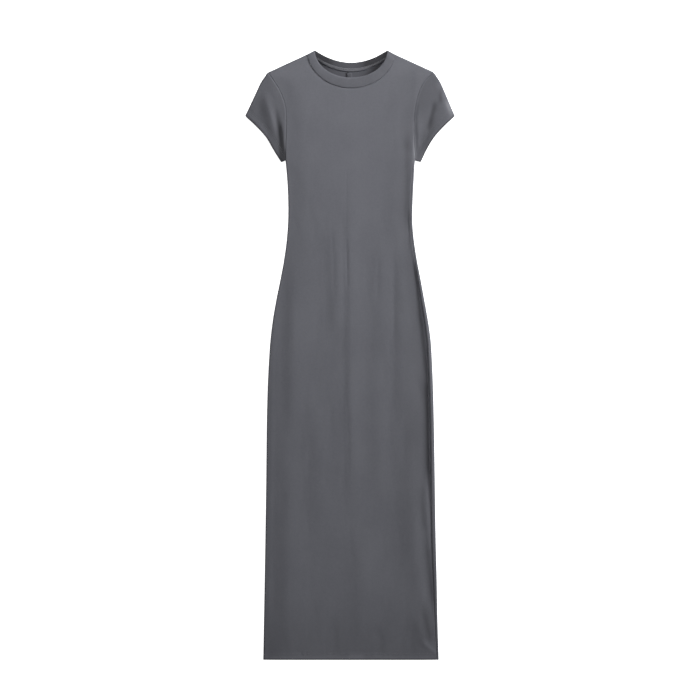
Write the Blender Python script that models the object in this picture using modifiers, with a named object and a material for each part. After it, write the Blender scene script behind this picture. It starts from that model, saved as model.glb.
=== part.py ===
"""A short-sleeve jersey dress, laid out flat on its back.

Metres, +Z up. The neck is towards +Y and the hem towards -Y, and the underside lies on the
plane z = 0. The origin is the bottom centre of the whole dress. Left and right are as seen
from above with the neck at the top.

Each cut piece is one solid: the front, two backs joined by a seam down the middle, two
sleeves and the neckband. A piece is one open surface, the outer face of the cloth, which
Solidify thickens inwards. The dress lies a little twisted, so the front turns under the
left side fold to its seam, and the right back turns up over the right side fold to its own.
"""

import math
from collections import namedtuple

import bmesh
import bpy
import numpy as np

MM = 0.001

CLOTH = 1.3 * MM
BAND_CLOTH = 2.0 * MM
SEAM_GAP = 0.3 * MM

# Heights of the outer face of the upper layer above the floor
FOLD_HEIGHT = 4.2 * MM
FRONT_LOFT = 1.4 * MM
LOFT_SPAN = 42 * MM
SLEEVE_LOFT = 1.3 * MM
BAND_FOLD_HEIGHT = 5.0 * MM
BAND_LOFT = 1.3 * MM
BAND_LOFT_SPAN = 14 * MM
LOWEST_FRONT = 3.1 * MM
RELIEF_SPAN = 6 * MM

# How far a fold's rounding and a seam lie inside the outline
FOLD_DEPTH = 2.1 * MM
BAND_FOLD_DEPTH = 2.5 * MM
CORNER_LENGTH = 2.0 * MM
TURN_WIDTH = 4.5 * MM

# The right side seam lies low beside the roll of the back that turns up to it
SEAM_HEIGHT = 3.3 * MM
SEAM_RISE_SPAN = 12 * MM
ROLL_RISE = 1.0 * MM

HEM_Y = -671 * MM
HEM_DEPTH = 10 * MM
UNDERARM_Y = 428 * MM
UPRIGHT_RISE = 0.75

SKIRT_TOP_Y = -130 * MM
SKIRT_ROWS = 12
TORSO_ROWS = 16
NECK_STEPS = 16
BACK_NECK_STEPS = 7
BAND_WIDTH_STEPS = 3
SLEEVE_RINGS = (0, 0.02, 0.12, 0.26, 0.42, 0.6, 0.8, 1)

# The shares of a fold's or a sleeve's length over which its shape comes in at the ends
FOLD_ENDS = 0.3
CORNER_BLEND = 0.1
NECK_BLEND = 0.3
SLEEVE_LOFT_ACROSS = 0.35
SLEEVE_LOFT_ALONG = 0.4
SLEEVE_RELIEF_ALONG = 0.15
TANGENT_STEP = 0.01

# The steps round a fold, in degrees
TURN_ANGLES = (45, 0, -45)

# The neck opening: the front edges are half ellipses, the back edges are parabolas
NECK_CENTRE = (2.5 * MM, 671.2 * MM)
BAND_EDGE_HALF_WIDTH = 79.3 * MM
BAND_EDGE_DROP = 60.0 * MM
NECK_SEAM_HALF_WIDTH = 97.0 * MM
NECK_SEAM_DROP = 84.0 * MM
NECK_SEAM_END_Y = 662.0 * MM
BACK_EDGE_Y = 644.5 * MM
BACK_SEAM_Y = 622.6 * MM

SHOULDER_COLUMNS_LEFT = (0, 0.1, 0.22, 0.36, 0.54, 0.76)
SHOULDER_COLUMNS_RIGHT = (0, 0.04, 0.09, 0.15, 0.24, 0.36, 0.52, 0.76)

# Where the side folds lie, in millimetres, and how far in from the right one its seam lies
Side = namedtuple("Side", "y left right turn")
SIDES = (
    Side(-671, -191.0, 195.4, 5.0),
    Side(-584, -189.4, 192.8, 6.0),
    Side(-496, -187.8, 191.2, 7.5),
    Side(-408, -186.4, 189.0, 9.0),
    Side(-320, -185.0, 187.6, 9.5),
    Side(-232, -184.0, 186.4, 9.5),
    Side(-144, -183.0, 184.9, 9.5),
    Side(-56, -180.6, 182.5, 9.5),
    Side(-12, -178.3, 180.6, 9.5),
    Side(32, -175.2, 177.8, 9.5),
    Side(76, -170.0, 171.8, 9.0),
    Side(120, -162.5, 164.0, 8.0),
    Side(164, -153.6, 156.0, 6.5),
    Side(208, -145.4, 147.7, 5.2),
    Side(252, -139.4, 141.0, 4.5),
    Side(296, -136.2, 137.4, 4.5),
    Side(340, -136.0, 138.3, 4.5),
    Side(392, -138.6, 141.0, 4.5),
    Side(428, -142.0, 143.0, 4.5),
)

# The centre back seam from the hem up, in millimetres
Seam = namedtuple("Seam", "y x")
CENTRE_BACK = (
    Seam(-671, 18.0),
    Seam(-500, 6.0),
    Seam(-320, 0.0),
    Seam(420, -3.0),
    Seam(624, -6.6),
)

# The armhole seams from the underarm up, in millimetres
Armhole = namedtuple("Armhole", "y left right")
ARMHOLES = (
    Armhole(434, -142.3, 143.1),
    Armhole(456, -141.9, 141.2),
    Armhole(488, -140.7, 139.8),
    Armhole(520, -140.2, 140.8),
    Armhole(548, -142.8, 144.2),
    Armhole(572, -150.2, 149.4),
    Armhole(590, -159.4, 156.4),
    Armhole(606, -169.8, 166.4),
)

# The outline of each sleeve, in millimetres, from the shoulder and from the underarm to the tip
Point = namedtuple("Point", "x y")
SHOULDER_LEFT = Point(-180.6, 621.6)
SHOULDER_RIGHT = Point(184.4, 621.8)
SLEEVE_FOLD_LEFT = (
    Point(-187.6, 612.6),
    Point(-194.4, 603.2),
    Point(-206.8, 577.5),
    Point(-219.0, 551.5),
    Point(-230.6, 527.0),
)
SLEEVE_FOLD_RIGHT = (
    Point(191.2, 612.6),
    Point(197.2, 603.2),
    Point(209.2, 577.5),
    Point(220.2, 551.5),
    Point(230.6, 527.0),
)
CUFF_LEFT = (
    Point(-150.5, 424.5),
    Point(-168.4, 453.0),
    Point(-184.8, 480.7),
    Point(-206.3, 504.4),
    Point(-230.6, 527.0),
)
CUFF_RIGHT = (
    Point(154.8, 424.8),
    Point(168.2, 453.0),
    Point(185.2, 480.7),
    Point(206.5, 504.4),
    Point(230.6, 527.0),
)

# Soft folds, in millimetres. Each runs from its head to its foot, and its crest falls away
# over the left width on its left and the right width on its right, seen from above.
Fold = namedtuple("Fold", "head_x head_y foot_x foot_y rise left_width right_width")
FRONT_FOLDS = (
    # The ridge that the centre back seam presses through
    Fold(-2, 420, 2, -420, 1.3, 9, 24),
    # The ridges beside it over the waist and hips
    Fold(-34, 300, -30, 20, 1.2, 13, 16),
    Fold(70, 290, 66, -60, 1.1, 20, 18),
    Fold(112, 260, 116, -170, 1.3, 18, 22),
    # The step down to the left side
    Fold(-118, 230, -130, -220, 1.3, 14, 40),
    # Long ridges of the skirt
    Fold(58, 20, 66, -320, 1.1, 22, 20),
    Fold(-78, -60, -60, -420, 0.9, 24, 24),
    Fold(122, -160, 140, -520, 1.2, 24, 18),
    Fold(-128, -180, -140, -620, 1.1, 14, 30),
    Fold(22, -380, 30, -670, 1.1, 20, 26),
    # The corner fold of the hem
    Fold(138, -560, 182, -668, 1.3, 10, 12),
    # The groove beside the right side seam
    Fold(131, 330, 124, 210, -1.2, 18, 8),
    Fold(136, 250, 170, -130, -2.1, 34, 6),
    Fold(168, 0, 174, -360, -1.8, 34, 6),
    Fold(158, -300, 181, -600, -1.4, 12, 6),
)
SLEEVE_FOLDS_LEFT = (
    Fold(-188, 590, -164, 470, 1.2, 12, 8),
    Fold(-168, 560, -150, 440, -1.0, 8, 6),
    Fold(-212, 560, -196, 510, -0.7, 10, 12),
)
SLEEVE_FOLDS_RIGHT = (
    Fold(150, 560, 152, 470, 1.0, 8, 12),
    Fold(196, 560, 172, 480, -1.0, 12, 12),
    Fold(206, 590, 214, 545, -0.7, 6, 8),
)

COLOUR = (0.135, 0.137, 0.155, 1.0)
ROUGHNESS = 0.9


def ramp(share):
    """A smooth step from 0 to 1 as share goes from 0 to 1."""
    share = min(1.0, max(0.0, share))
    return share * share * (3 - 2 * share)


def smooth_through(stations, values):
    """A function whose smooth curve goes through these values at these rising stations."""
    stations = np.asarray(stations, float)
    values = np.asarray(values, float)
    slopes = np.gradient(values, stations)

    def at(place):
        place = min(max(place, stations[0]), stations[-1])
        i = min(int(np.searchsorted(stations, place, "right")) - 1, len(stations) - 2)
        span = stations[i + 1] - stations[i]
        t = (place - stations[i]) / span
        start = (1 + 2 * t) * (1 - t) ** 2 * values[i] + t * (1 - t) ** 2 * span * slopes[i]
        end = t * t * (3 - 2 * t) * values[i + 1] + t * t * (t - 1) * span * slopes[i + 1]
        return float(start + end)

    return at


def curve_through(points):
    """A smooth plane curve through these points, by the share of its length."""
    points = np.asarray(points, float)
    steps = np.linalg.norm(np.diff(points, axis=0), axis=1)
    shares = np.concatenate([[0.0], np.cumsum(steps)]) / steps.sum()
    x = smooth_through(shares, points[:, 0])
    y = smooth_through(shares, points[:, 1])
    return lambda share: np.array([x(share), y(share)])


def in_metres(points):
    """The same plane points in metres."""
    return [np.array([p.x, p.y]) * MM for p in points]


def inward_of(start, end, right_hand):
    """The unit vector square to a line, on its right or left hand."""
    along = (np.asarray(end) - start) / np.linalg.norm(np.asarray(end) - start)
    turned = np.array([along[1], -along[0]])
    return turned if right_hand else -turned


def beside(points, distance):
    """The same line moved aside by this distance, to its right hand as it runs."""
    moved = []
    for i, point in enumerate(points):
        before = points[max(0, i - 1)]
        after = points[min(len(points) - 1, i + 1)]
        moved.append(point + inward_of(before, after, right_hand=True) * distance)
    return moved


left_side = smooth_through([s.y * MM for s in SIDES], [s.left * MM for s in SIDES])
right_side = smooth_through([s.y * MM for s in SIDES], [s.right * MM for s in SIDES])
right_turn = smooth_through([s.y * MM for s in SIDES], [s.turn * MM for s in SIDES])
centre_back = smooth_through([s.y * MM for s in CENTRE_BACK], [s.x * MM for s in CENTRE_BACK])


class Shoulder:
    """One shoulder's fold line, from the armhole to the neck seam, on the left or right.

    Its last stretch by the armhole is square to the armhole seam.
    """

    def __init__(self, outer, armhole_x, sign):
        self.sign = sign
        self.outer = np.array([outer.x, outer.y]) * MM
        drop = (NECK_CENTRE[1] - NECK_SEAM_END_Y) / NECK_SEAM_DROP
        reach = NECK_SEAM_HALF_WIDTH * math.sqrt(1 - drop * drop)
        self.inner = np.array([NECK_CENTRE[0] + sign * reach, NECK_SEAM_END_Y])
        below = np.array([armhole_x, ARMHOLES[-1].y]) * MM
        self.outer_in = (below - self.outer) / np.linalg.norm(below - self.outer)
        self.outward = inward_of(below, self.outer, right_hand=sign > 0)
        self.corner = self.outer - self.outward * CORNER_LENGTH
        self.middle_in = inward_of(self.corner, self.inner, right_hand=sign < 0)
        self.corner_in = (self.outer_in + self.middle_in) / 2
        self.inner_in = np.array([0.0, -1.0])

    def point(self, share):
        """The fold line's point, from 0 at the corner by the armhole to 1 at the neck."""
        return self.corner + (self.inner - self.corner) * share

    def inward(self, share):
        """The way from the fold into the cloth, which turns towards each end's neighbour."""
        mix = self.middle_in
        mix = mix + (self.corner_in - mix) * ramp(1 - share / CORNER_BLEND)
        mix = mix + (self.inner_in - mix) * ramp(1 - (1 - share) / NECK_BLEND)
        return mix / np.linalg.norm(mix)

    def inside(self, depth, edge):
        """The points this deep inside the fold, the first one moved to the cloth's edge."""
        columns = SHOULDER_COLUMNS_LEFT if self.sign < 0 else SHOULDER_COLUMNS_RIGHT
        points = [self.outer + self.outer_in * depth + edge]
        return points + [self.point(c) + self.inward(c) * depth for c in columns]

    def height_over(self, x):
        """The fold line's y above this x."""
        share = (x - self.corner[0]) / (self.inner[0] - self.corner[0])
        return float(self.point(min(1.0, max(0.0, share)))[1])


shoulder_left = Shoulder(SHOULDER_LEFT, ARMHOLES[-1].left, -1)
shoulder_right = Shoulder(SHOULDER_RIGHT, ARMHOLES[-1].right, 1)


def armhole_points(shoulder, side):
    """The armhole seam from the first station above the underarm to the shoulder fold."""
    points = [np.array([getattr(a, side), a.y]) * MM for a in ARMHOLES]
    points.append(shoulder.outer + shoulder.outer_in * FOLD_DEPTH)
    return points


armhole_left = armhole_points(shoulder_left, "left")
armhole_right = armhole_points(shoulder_right, "right")
armhole_y = [UNDERARM_Y] + [p[1] for p in armhole_left]
left_armhole_x = smooth_through(armhole_y, [left_side(UNDERARM_Y)] + [p[0] for p in armhole_left])
right_armhole_x = smooth_through(
    armhole_y, [right_side(UNDERARM_Y)] + [p[0] for p in armhole_right]
)


def fold_height(folds, x, y):
    """The height that these soft folds add at a point."""
    total = 0.0
    for fold in folds:
        along_x = (fold.foot_x - fold.head_x) * MM
        along_y = (fold.foot_y - fold.head_y) * MM
        length = math.hypot(along_x, along_y)
        off_x = x - fold.head_x * MM
        off_y = y - fold.head_y * MM
        share = (off_x * along_x + off_y * along_y) / length**2
        if not 0 < share < 1:
            continue
        aside = (off_y * along_x - off_x * along_y) / length
        width = (fold.left_width if aside < 0 else fold.right_width) * MM
        ends = ramp(share / FOLD_ENDS) * ramp((1 - share) / FOLD_ENDS)
        total += fold.rise * MM * ends * math.exp(-((aside / width) ** 2))
    return total


def front_height(x, y):
    """The height of the front's outer face."""
    sunk = 0.0
    if y <= UNDERARM_Y:
        left, right = left_side(y) + FOLD_DEPTH, right_side(y) - right_turn(y)
        sunk = (FOLD_HEIGHT - SEAM_HEIGHT) * ramp((right_turn(y) - TURN_WIDTH) / TURN_WIDTH)
    else:
        left, right = left_armhole_x(y), right_armhole_x(y)
    shoulder = shoulder_left if x < NECK_CENTRE[0] else shoulder_right
    from_side = min(x - left, right - x)
    from_top = shoulder.height_over(x) - FOLD_DEPTH - y
    inside = max(0.0, min(from_side, from_top))
    lift = FRONT_LOFT * ramp(inside / LOFT_SPAN)
    lift -= sunk * ramp(1 - (right - x) / SEAM_RISE_SPAN)
    relief = fold_height(FRONT_FOLDS, x, y) * ramp(inside / RELIEF_SPAN)
    return max(LOWEST_FRONT, FOLD_HEIGHT + lift + relief)


def band_height(from_fold):
    """The height of the neckband's upper layer, at this distance from its shoulder fold."""
    return BAND_FOLD_HEIGHT + BAND_LOFT * ramp(from_fold / BAND_LOFT_SPAN)


def turn(edge, top_in, bottom_in, top_z):
    """The points of a fold's rounding, from the upper layer round to the lower one.

    The cloth leaves the upper layer at edge + top_in and meets the lower one, on the floor,
    at edge + bottom_in, and those two points aren't in the list.
    """
    half = top_z / 2
    points = []
    for degrees in TURN_ANGLES:
        angle = math.radians(degrees)
        inward = top_in if degrees > 0 else bottom_in
        plan = edge + inward * (1 - math.cos(angle))
        points.append((plan[0], plan[1], half + half * math.sin(angle)))
    return points


def neck_front(half_width, drop, share, end_y):
    """A front neck edge's point, from 0 at its left end to 1 at its right end."""
    first = math.asin((NECK_CENTRE[1] - end_y) / drop)
    angle = first + (math.pi - 2 * first) * share
    return np.array(
        [NECK_CENTRE[0] - half_width * math.cos(angle), NECK_CENTRE[1] - drop * math.sin(angle)]
    )


def neck_back_reach(middle_y, y):
    """How far a back neck edge, a parabola, reaches to either side at this y."""
    return BAND_EDGE_HALF_WIDTH * math.sqrt((y - middle_y) / (NECK_CENTRE[1] - BACK_EDGE_Y))


def neck_back(middle_y, x):
    """The point of a back neck edge at this x."""
    bend = (NECK_CENTRE[1] - BACK_EDGE_Y) / BAND_EDGE_HALF_WIDTH**2
    return np.array([x, middle_y + bend * (x - NECK_CENTRE[0]) ** 2])


def back_neck_seam():
    """The seam of the neckband to the backs, from the left shoulder fold to the right one."""
    end = neck_back_reach(BACK_SEAM_Y, NECK_SEAM_END_Y - FOLD_DEPTH)
    shoulder_seam = neck_back_reach(BACK_SEAM_Y, NECK_SEAM_END_Y - TURN_WIDTH)
    middle = centre_back(BACK_SEAM_Y)
    left = np.linspace(NECK_CENTRE[0] - shoulder_seam, middle, BACK_NECK_STEPS + 1)
    right = np.linspace(middle, NECK_CENTRE[0] + shoulder_seam, BACK_NECK_STEPS + 1)[1:]
    xs = [NECK_CENTRE[0] - end, *left, *right, NECK_CENTRE[0] + end]
    return [neck_back(BACK_SEAM_Y, x) for x in xs]


class Cloth:
    """A piece of cloth as one open surface, gathered from patches that share their edges."""

    def __init__(self, name, thickness, faces_down=False):
        self.name = name
        self.thickness = thickness
        self.faces_down = faces_down
        self.bm = bmesh.new()

    def patch(self, rows, closed=False):
        """Adds the faces between rows of points, and from the last row to the first if closed."""
        made = [[self.bm.verts.new(point) for point in row] for row in rows]
        if closed:
            made.append(made[0])
        for lower, upper in zip(made, made[1:]):
            for i in range(len(lower) - 1):
                corners = [lower[i], lower[i + 1], upper[i + 1], upper[i]]
                self.bm.faces.new(corners[::-1] if self.faces_down else corners)

    def finish(self, collection, material):
        """Makes the object, with Solidify to thicken it towards its inner side."""
        bmesh.ops.remove_doubles(self.bm, verts=self.bm.verts, dist=0.01 * MM)
        mesh = bpy.data.meshes.new(self.name)
        self.bm.to_mesh(mesh)
        self.bm.free()
        mesh.shade_smooth()
        mesh.materials.append(material)
        obj = bpy.data.objects.new(self.name, mesh)
        collection.objects.link(obj)
        solidify = obj.modifiers.new("cloth", "SOLIDIFY")
        solidify.thickness = self.thickness
        solidify.offset = -1
        solidify.use_rim = True
        return obj


def body_rows():
    """The y of each cross-section from the hem up to the underarm."""
    skirt = np.linspace(HEM_Y + HEM_DEPTH, SKIRT_TOP_Y, SKIRT_ROWS)
    torso = np.linspace(SKIRT_TOP_Y, UNDERARM_Y, TORSO_ROWS + 1)[1:]
    return [HEM_Y, *skirt, *torso]


def spread(left_x, right_x, shares):
    """The x of each column between two ends."""
    return [left_x + (right_x - left_x) * share for share in shares]


def column_shares(tops):
    """How far across each column lies, from 0 at the first to 1 at the last."""
    return [(top[0] - tops[0][0]) / (tops[-1][0] - tops[0][0]) for top in tops]


def upper_rows(tops, firsts, last_x, first_held, last_held):
    """Plan rows above the underarm, from points down one side to the line of tops.

    The x of each row's other end comes from last_x, which takes the row's number and y. The
    columns turn upright between the two held ones, so that they pass beside the neck.
    """
    xs = [top[0] for top in tops]
    starts = [max(0.0, (xs[first_held] - x) / (xs[first_held] - xs[0])) for x in xs]
    ends = [max(0.0, (x - xs[last_held]) / (xs[-1] - xs[last_held])) for x in xs]
    rows = []
    for i, first in enumerate(firsts[:-1]):
        rise = (first[1] - UNDERARM_Y) / (tops[0][1] - UNDERARM_Y)
        ys = [UNDERARM_Y + (top[1] - UNDERARM_Y) * rise for top in tops]
        last = last_x(i, ys[-1])
        upright = ramp(rise / UPRIGHT_RISE)
        row = []
        for even, x, y, start, end in zip(
            spread(first[0], last, column_shares(tops)), xs, ys, starts, ends
        ):
            held = x + (first[0] - xs[0]) * start + (last - xs[-1]) * end
            row.append((even + (held - even) * upright, y))
        rows.append(row)
    rows.append([tuple(top) for top in tops])
    return rows


def strap_columns(sign, tops, edge):
    """The front's turn over one shoulder fold, from its outer face to the seam below."""
    shoulder = shoulder_left if sign < 0 else shoulder_right
    below = shoulder.inside(FOLD_DEPTH, edge)
    seam = shoulder.inside(TURN_WIDTH - SEAM_GAP / 2, edge)
    neck = beside(back_neck_seam(), SEAM_GAP / 2)
    ends = neck[:2] if sign < 0 else neck[:-3:-1]
    below.append(ends[0])
    seam.append(ends[1] + np.array([0.0, SEAM_GAP / 2]))
    folds = []
    for low, last in zip(below, seam):
        folds.append(low - (last - low) / np.linalg.norm(last - low) * FOLD_DEPTH)
    folds[-1] = np.array([tops[-1][0], NECK_SEAM_END_Y])
    columns = []
    for top, fold, low, last in zip(tops, folds, below, seam):
        z = front_height(*top)
        around = turn(fold, top - fold, low - fold, z)
        columns.append([(*top, z), *around, (*low, 0.0), (*last, 0.0)])
    return columns


def build_front(collection, material):
    """The front, with its neck seam, both shoulders and the turn under the left side."""
    cloth = Cloth("front", CLOTH)
    lefts = beside(armhole_left, SEAM_GAP / 2)
    rights = beside(armhole_right, -SEAM_GAP / 2)
    left_edge = lefts[-1] - armhole_left[-1]
    right_edge = rights[-1] - armhole_right[-1]
    left_strap = shoulder_left.inside(FOLD_DEPTH, left_edge)
    right_strap = shoulder_right.inside(FOLD_DEPTH, right_edge)
    half_width = NECK_SEAM_HALF_WIDTH + SEAM_GAP / 2
    drop = NECK_SEAM_DROP + SEAM_GAP / 2
    end_y = NECK_SEAM_END_Y - FOLD_DEPTH
    neck = [neck_front(half_width, drop, i / NECK_STEPS, end_y) for i in range(NECK_STEPS + 1)]
    tops = left_strap + neck + right_strap[::-1]

    plan = []
    for y in body_rows():
        left_x = left_side(y) + FOLD_DEPTH
        right_x = right_side(y) - right_turn(y) - SEAM_GAP / 2
        plan.append([(x, y) for x in spread(left_x, right_x, column_shares(tops))])
    first_neck, last_neck = len(left_strap), len(left_strap) + NECK_STEPS
    plan += upper_rows(tops, lefts, lambda i, y: rights[i][0], first_neck, last_neck)
    cloth.patch([[(x, y, front_height(x, y)) for x, y in row] for row in plan])

    turned_under = []
    for row in plan[: len(body_rows())]:
        x, y = row[0]
        edge = np.array([left_side(y), y])
        inward = np.array([FOLD_DEPTH, 0.0])
        seam = (edge[0] + TURN_WIDTH - SEAM_GAP / 2, y, 0.0)
        around = turn(edge, inward, inward, front_height(x, y))
        lower = (edge[0] + FOLD_DEPTH, y, 0.0)
        turned_under.append([seam, lower, *around[::-1], (x, y, front_height(x, y))])
    cloth.patch(turned_under)

    top_row = [np.array(point) for point in plan[-1]]
    left_tops = top_row[: len(left_strap) + 1]
    right_tops = top_row[: -len(right_strap) - 2 : -1]
    left_columns = strap_columns(-1, left_tops, left_edge)
    right_columns = strap_columns(1, right_tops, right_edge)
    cloth.patch([list(row) for row in zip(*left_columns)])
    cloth.patch([list(row) for row in zip(*right_columns[::-1])])
    return cloth.finish(collection, material)


def build_back(name, sign, collection, material):
    """One back, flat on the floor. The right one turns up over the side to its seam."""
    cloth = Cloth(name, CLOTH, faces_down=sign < 0)
    shoulder = shoulder_left if sign < 0 else shoulder_right
    armhole = armhole_left if sign < 0 else armhole_right
    outer = beside(armhole, -sign * SEAM_GAP / 2)
    tops = shoulder.inside(TURN_WIDTH + SEAM_GAP / 2, outer[-1] - armhole[-1])
    neck = beside(back_neck_seam(), SEAM_GAP / 2)
    neck = neck[1 : BACK_NECK_STEPS + 2] if sign < 0 else neck[-2 : -BACK_NECK_STEPS - 3 : -1]
    neck[0] = neck[0] - np.array([0.0, SEAM_GAP / 2])
    neck[-1] = neck[-1] + np.array([sign * SEAM_GAP / 2, 0.0])
    tops += neck

    def centre_x(_, y):
        return centre_back(y) + sign * SEAM_GAP / 2

    plan = []
    for y in body_rows():
        if sign < 0:
            outer_x = left_side(y) + TURN_WIDTH + SEAM_GAP / 2
        else:
            outer_x = right_side(y) - FOLD_DEPTH
        xs = spread(outer_x, centre_x(0, y), column_shares(tops))
        plan.append([(x, y) for x in xs])
    neck_start = len(tops) - len(neck)
    plan += upper_rows(tops, outer, centre_x, neck_start, neck_start)
    cloth.patch([[(x, y, 0.0) for x, y in row] for row in plan])

    if sign > 0:
        turned_up = []
        for row in plan[: len(body_rows())]:
            x, y = row[0]
            edge = np.array([right_side(y), y])
            inward = np.array([-FOLD_DEPTH, 0.0])
            wide = ramp((right_turn(y) - TURN_WIDTH) / TURN_WIDTH)
            seam_x = edge[0] - right_turn(y) + SEAM_GAP / 2
            seam_z = FOLD_HEIGHT + (SEAM_HEIGHT - FOLD_HEIGHT) * wide
            top_x = edge[0] - FOLD_DEPTH
            crest = ((top_x + seam_x) / 2, y, FOLD_HEIGHT + ROLL_RISE * wide)
            around = turn(edge, inward, inward, FOLD_HEIGHT)
            turned_up.append(
                [(seam_x, y, seam_z), crest, (top_x, y, FOLD_HEIGHT), *around, (x, y, 0.0)]
            )
        cloth.patch(turned_up)
    return cloth.finish(collection, material)


def build_sleeve(name, sign, collection, material):
    """One sleeve, a flattened tube from the armhole seam to the open cuff."""
    cloth = Cloth(name, CLOTH, faces_down=sign < 0)
    left = sign < 0
    shoulder = shoulder_left if left else shoulder_right
    armhole = armhole_left if left else armhole_right
    fold_line = SLEEVE_FOLD_LEFT if left else SLEEVE_FOLD_RIGHT
    cuff_line = CUFF_LEFT if left else CUFF_RIGHT
    folds = SLEEVE_FOLDS_LEFT if left else SLEEVE_FOLDS_RIGHT
    side = left_side if left else right_side
    edge = beside(armhole, sign * SEAM_GAP / 2)
    outer_end = shoulder.outer + edge[-1] - armhole[-1]

    underarm = np.array([side(UNDERARM_Y) + sign * SEAM_GAP, UNDERARM_Y])
    seam = [underarm] + edge[:-1] + [outer_end]
    steps = [0.0, *np.cumsum([np.linalg.norm(b - a) for a, b in zip(seam, seam[1:])])]
    shares = [step / steps[-1] for step in steps]
    corner = outer_end + shoulder.outward * CORNER_LENGTH
    fold = curve_through([outer_end, corner, *in_metres(fold_line)])
    cuff = curve_through(in_metres(cuff_line))
    tip = np.array([cuff_line[0].x, cuff_line[0].y]) * MM

    rings = []
    for along in SLEEVE_RINGS:
        lower_edge = underarm + (tip - underarm) * along
        upper_edge = fold(along)
        under_in = inward_of(underarm, tip, right_hand=left) * FOLD_DEPTH
        near = fold(max(0.0, along - TANGENT_STEP))
        far = fold(min(1.0, along + TANGENT_STEP))
        over_in = inward_of(near, far, right_hand=not left) * FOLD_DEPTH
        if along == 0:
            over_in = shoulder.outer_in * FOLD_DEPTH
        plan = []
        for i, share in enumerate(shares):
            across = seam[i] + (cuff(share) - seam[i]) * along
            between = lower_edge + (upper_edge - lower_edge) * share
            corners = underarm + (seam[-1] - underarm) * share
            ends = tip + (cuff(1.0) - tip) * share
            point = across + between - (corners + (ends - corners) * along)
            plan.append(point)
        plan[0] = lower_edge + under_in
        plan[-1] = upper_edge + over_in
        top = []
        for point, share in zip(plan, shares):
            from_fold = min(share, 1 - share) / SLEEVE_LOFT_ACROSS
            lift = SLEEVE_LOFT * ramp(from_fold) * ramp(along / SLEEVE_LOFT_ALONG)
            relief = fold_height(folds, point[0], point[1])
            relief *= ramp(from_fold * 2) * ramp(along / SLEEVE_RELIEF_ALONG)
            height = max(LOWEST_FRONT, FOLD_HEIGHT + lift + relief)
            top.append((point[0], point[1], height))
        over = turn(upper_edge, over_in, over_in, top[-1][2])
        bottom = [(point[0], point[1], 0.0) for point in plan[::-1]]
        under = turn(lower_edge, under_in, under_in, top[0][2])
        rings.append([*top, *over, *bottom, *under[::-1]])
    cloth.patch([list(line) for line in zip(*rings)], closed=True)
    return cloth.finish(collection, material)


def build_neckband(collection, material):
    """The neckband, a flattened ring of folded cloth between the neck seam and its edge."""
    cloth = Cloth("neckband", BAND_CLOTH, faces_down=True)
    end_y = NECK_SEAM_END_Y - FOLD_DEPTH
    edge_end_y = NECK_CENTRE[1] - BAND_FOLD_DEPTH
    across = [j / BAND_WIDTH_STEPS for j in range(BAND_WIDTH_STEPS + 1)]
    half_width = NECK_SEAM_HALF_WIDTH - SEAM_GAP / 2
    drop = NECK_SEAM_DROP - SEAM_GAP / 2
    front, back = [], []
    for i in range(NECK_STEPS + 1):
        share = i / NECK_STEPS
        outer = neck_front(half_width, drop, share, end_y)
        inner = neck_front(BAND_EDGE_HALF_WIDTH, BAND_EDGE_DROP, share, edge_end_y)
        height = band_height(min(share, 1 - share) * math.pi * BAND_EDGE_DROP)
        front.append([(*(outer + (inner - outer) * a), height) for a in across])
    seam_reach = neck_back_reach(BACK_SEAM_Y, end_y)
    edge_reach = neck_back_reach(BACK_EDGE_Y, edge_end_y)
    seam = back_neck_seam()
    for place, outer in zip(seam[::-1], beside(seam, -SEAM_GAP / 2)[::-1]):
        share = (place[0] - NECK_CENTRE[0]) / seam_reach
        inner = neck_back(BACK_EDGE_Y, NECK_CENTRE[0] + edge_reach * share)
        back.append([(*(outer + (inner - outer) * a), 0.0) for a in across])

    def side_turn(sign, upper, lower):
        """The rounding at one shoulder, a column of points for each step of the width."""
        seam_end = np.array([upper[0][0], NECK_SEAM_END_Y])
        tip = np.array([NECK_CENTRE[0] + sign * BAND_EDGE_HALF_WIDTH, NECK_CENTRE[1]])
        columns = []
        for a, top, bottom in zip(across, upper, lower):
            edge = seam_end + (tip - seam_end) * a
            top_in = np.array(top[:2]) - edge
            bottom_in = np.array(bottom[:2]) - edge
            columns.append(turn(edge, top_in, bottom_in, top[2]))
        return [list(row) for row in zip(*columns)]

    right = side_turn(1, front[-1], back[0])
    left = side_turn(-1, front[0], back[-1])[::-1]
    cloth.patch([*front, *right, *back, *left], closed=True)
    return cloth.finish(collection, material)


def jersey_material(name):
    """Plain grey jersey, a material of its own for each piece."""
    material = bpy.data.materials.new(name)
    material.use_nodes = True
    shader = material.node_tree.nodes["Principled BSDF"]
    shader.inputs["Base Color"].default_value = COLOUR
    shader.inputs["Roughness"].default_value = ROUGHNESS
    shader.inputs["Metallic"].default_value = 0.0
    material.diffuse_color = COLOUR
    return material


def main():
    """Builds the six pieces in a collection named for the dress."""
    for obj in list(bpy.data.objects):
        bpy.data.objects.remove(obj)
    dress = bpy.data.collections.new("short_sleeve_dress")
    bpy.context.scene.collection.children.link(dress)
    build_front(dress, jersey_material("front_jersey"))
    build_back("back_left", -1, dress, jersey_material("back_left_jersey"))
    build_back("back_right", 1, dress, jersey_material("back_right_jersey"))
    build_sleeve("sleeve_left", -1, dress, jersey_material("sleeve_left_jersey"))
    build_sleeve("sleeve_right", 1, dress, jersey_material("sleeve_right_jersey"))
    build_neckband(dress, jersey_material("neckband_jersey"))


main()
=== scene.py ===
"""A short-sleeve jersey dress laid flat on its back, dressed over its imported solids.

Sizes are in millimetres until a mesh is made. X runs to the right, Y to the neck and Z up, and
the underside lies on the plane Z = 0.
"""

import logging
import math
from collections.abc import Callable, Sequence
from dataclasses import dataclass, field
from enum import Enum

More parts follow.
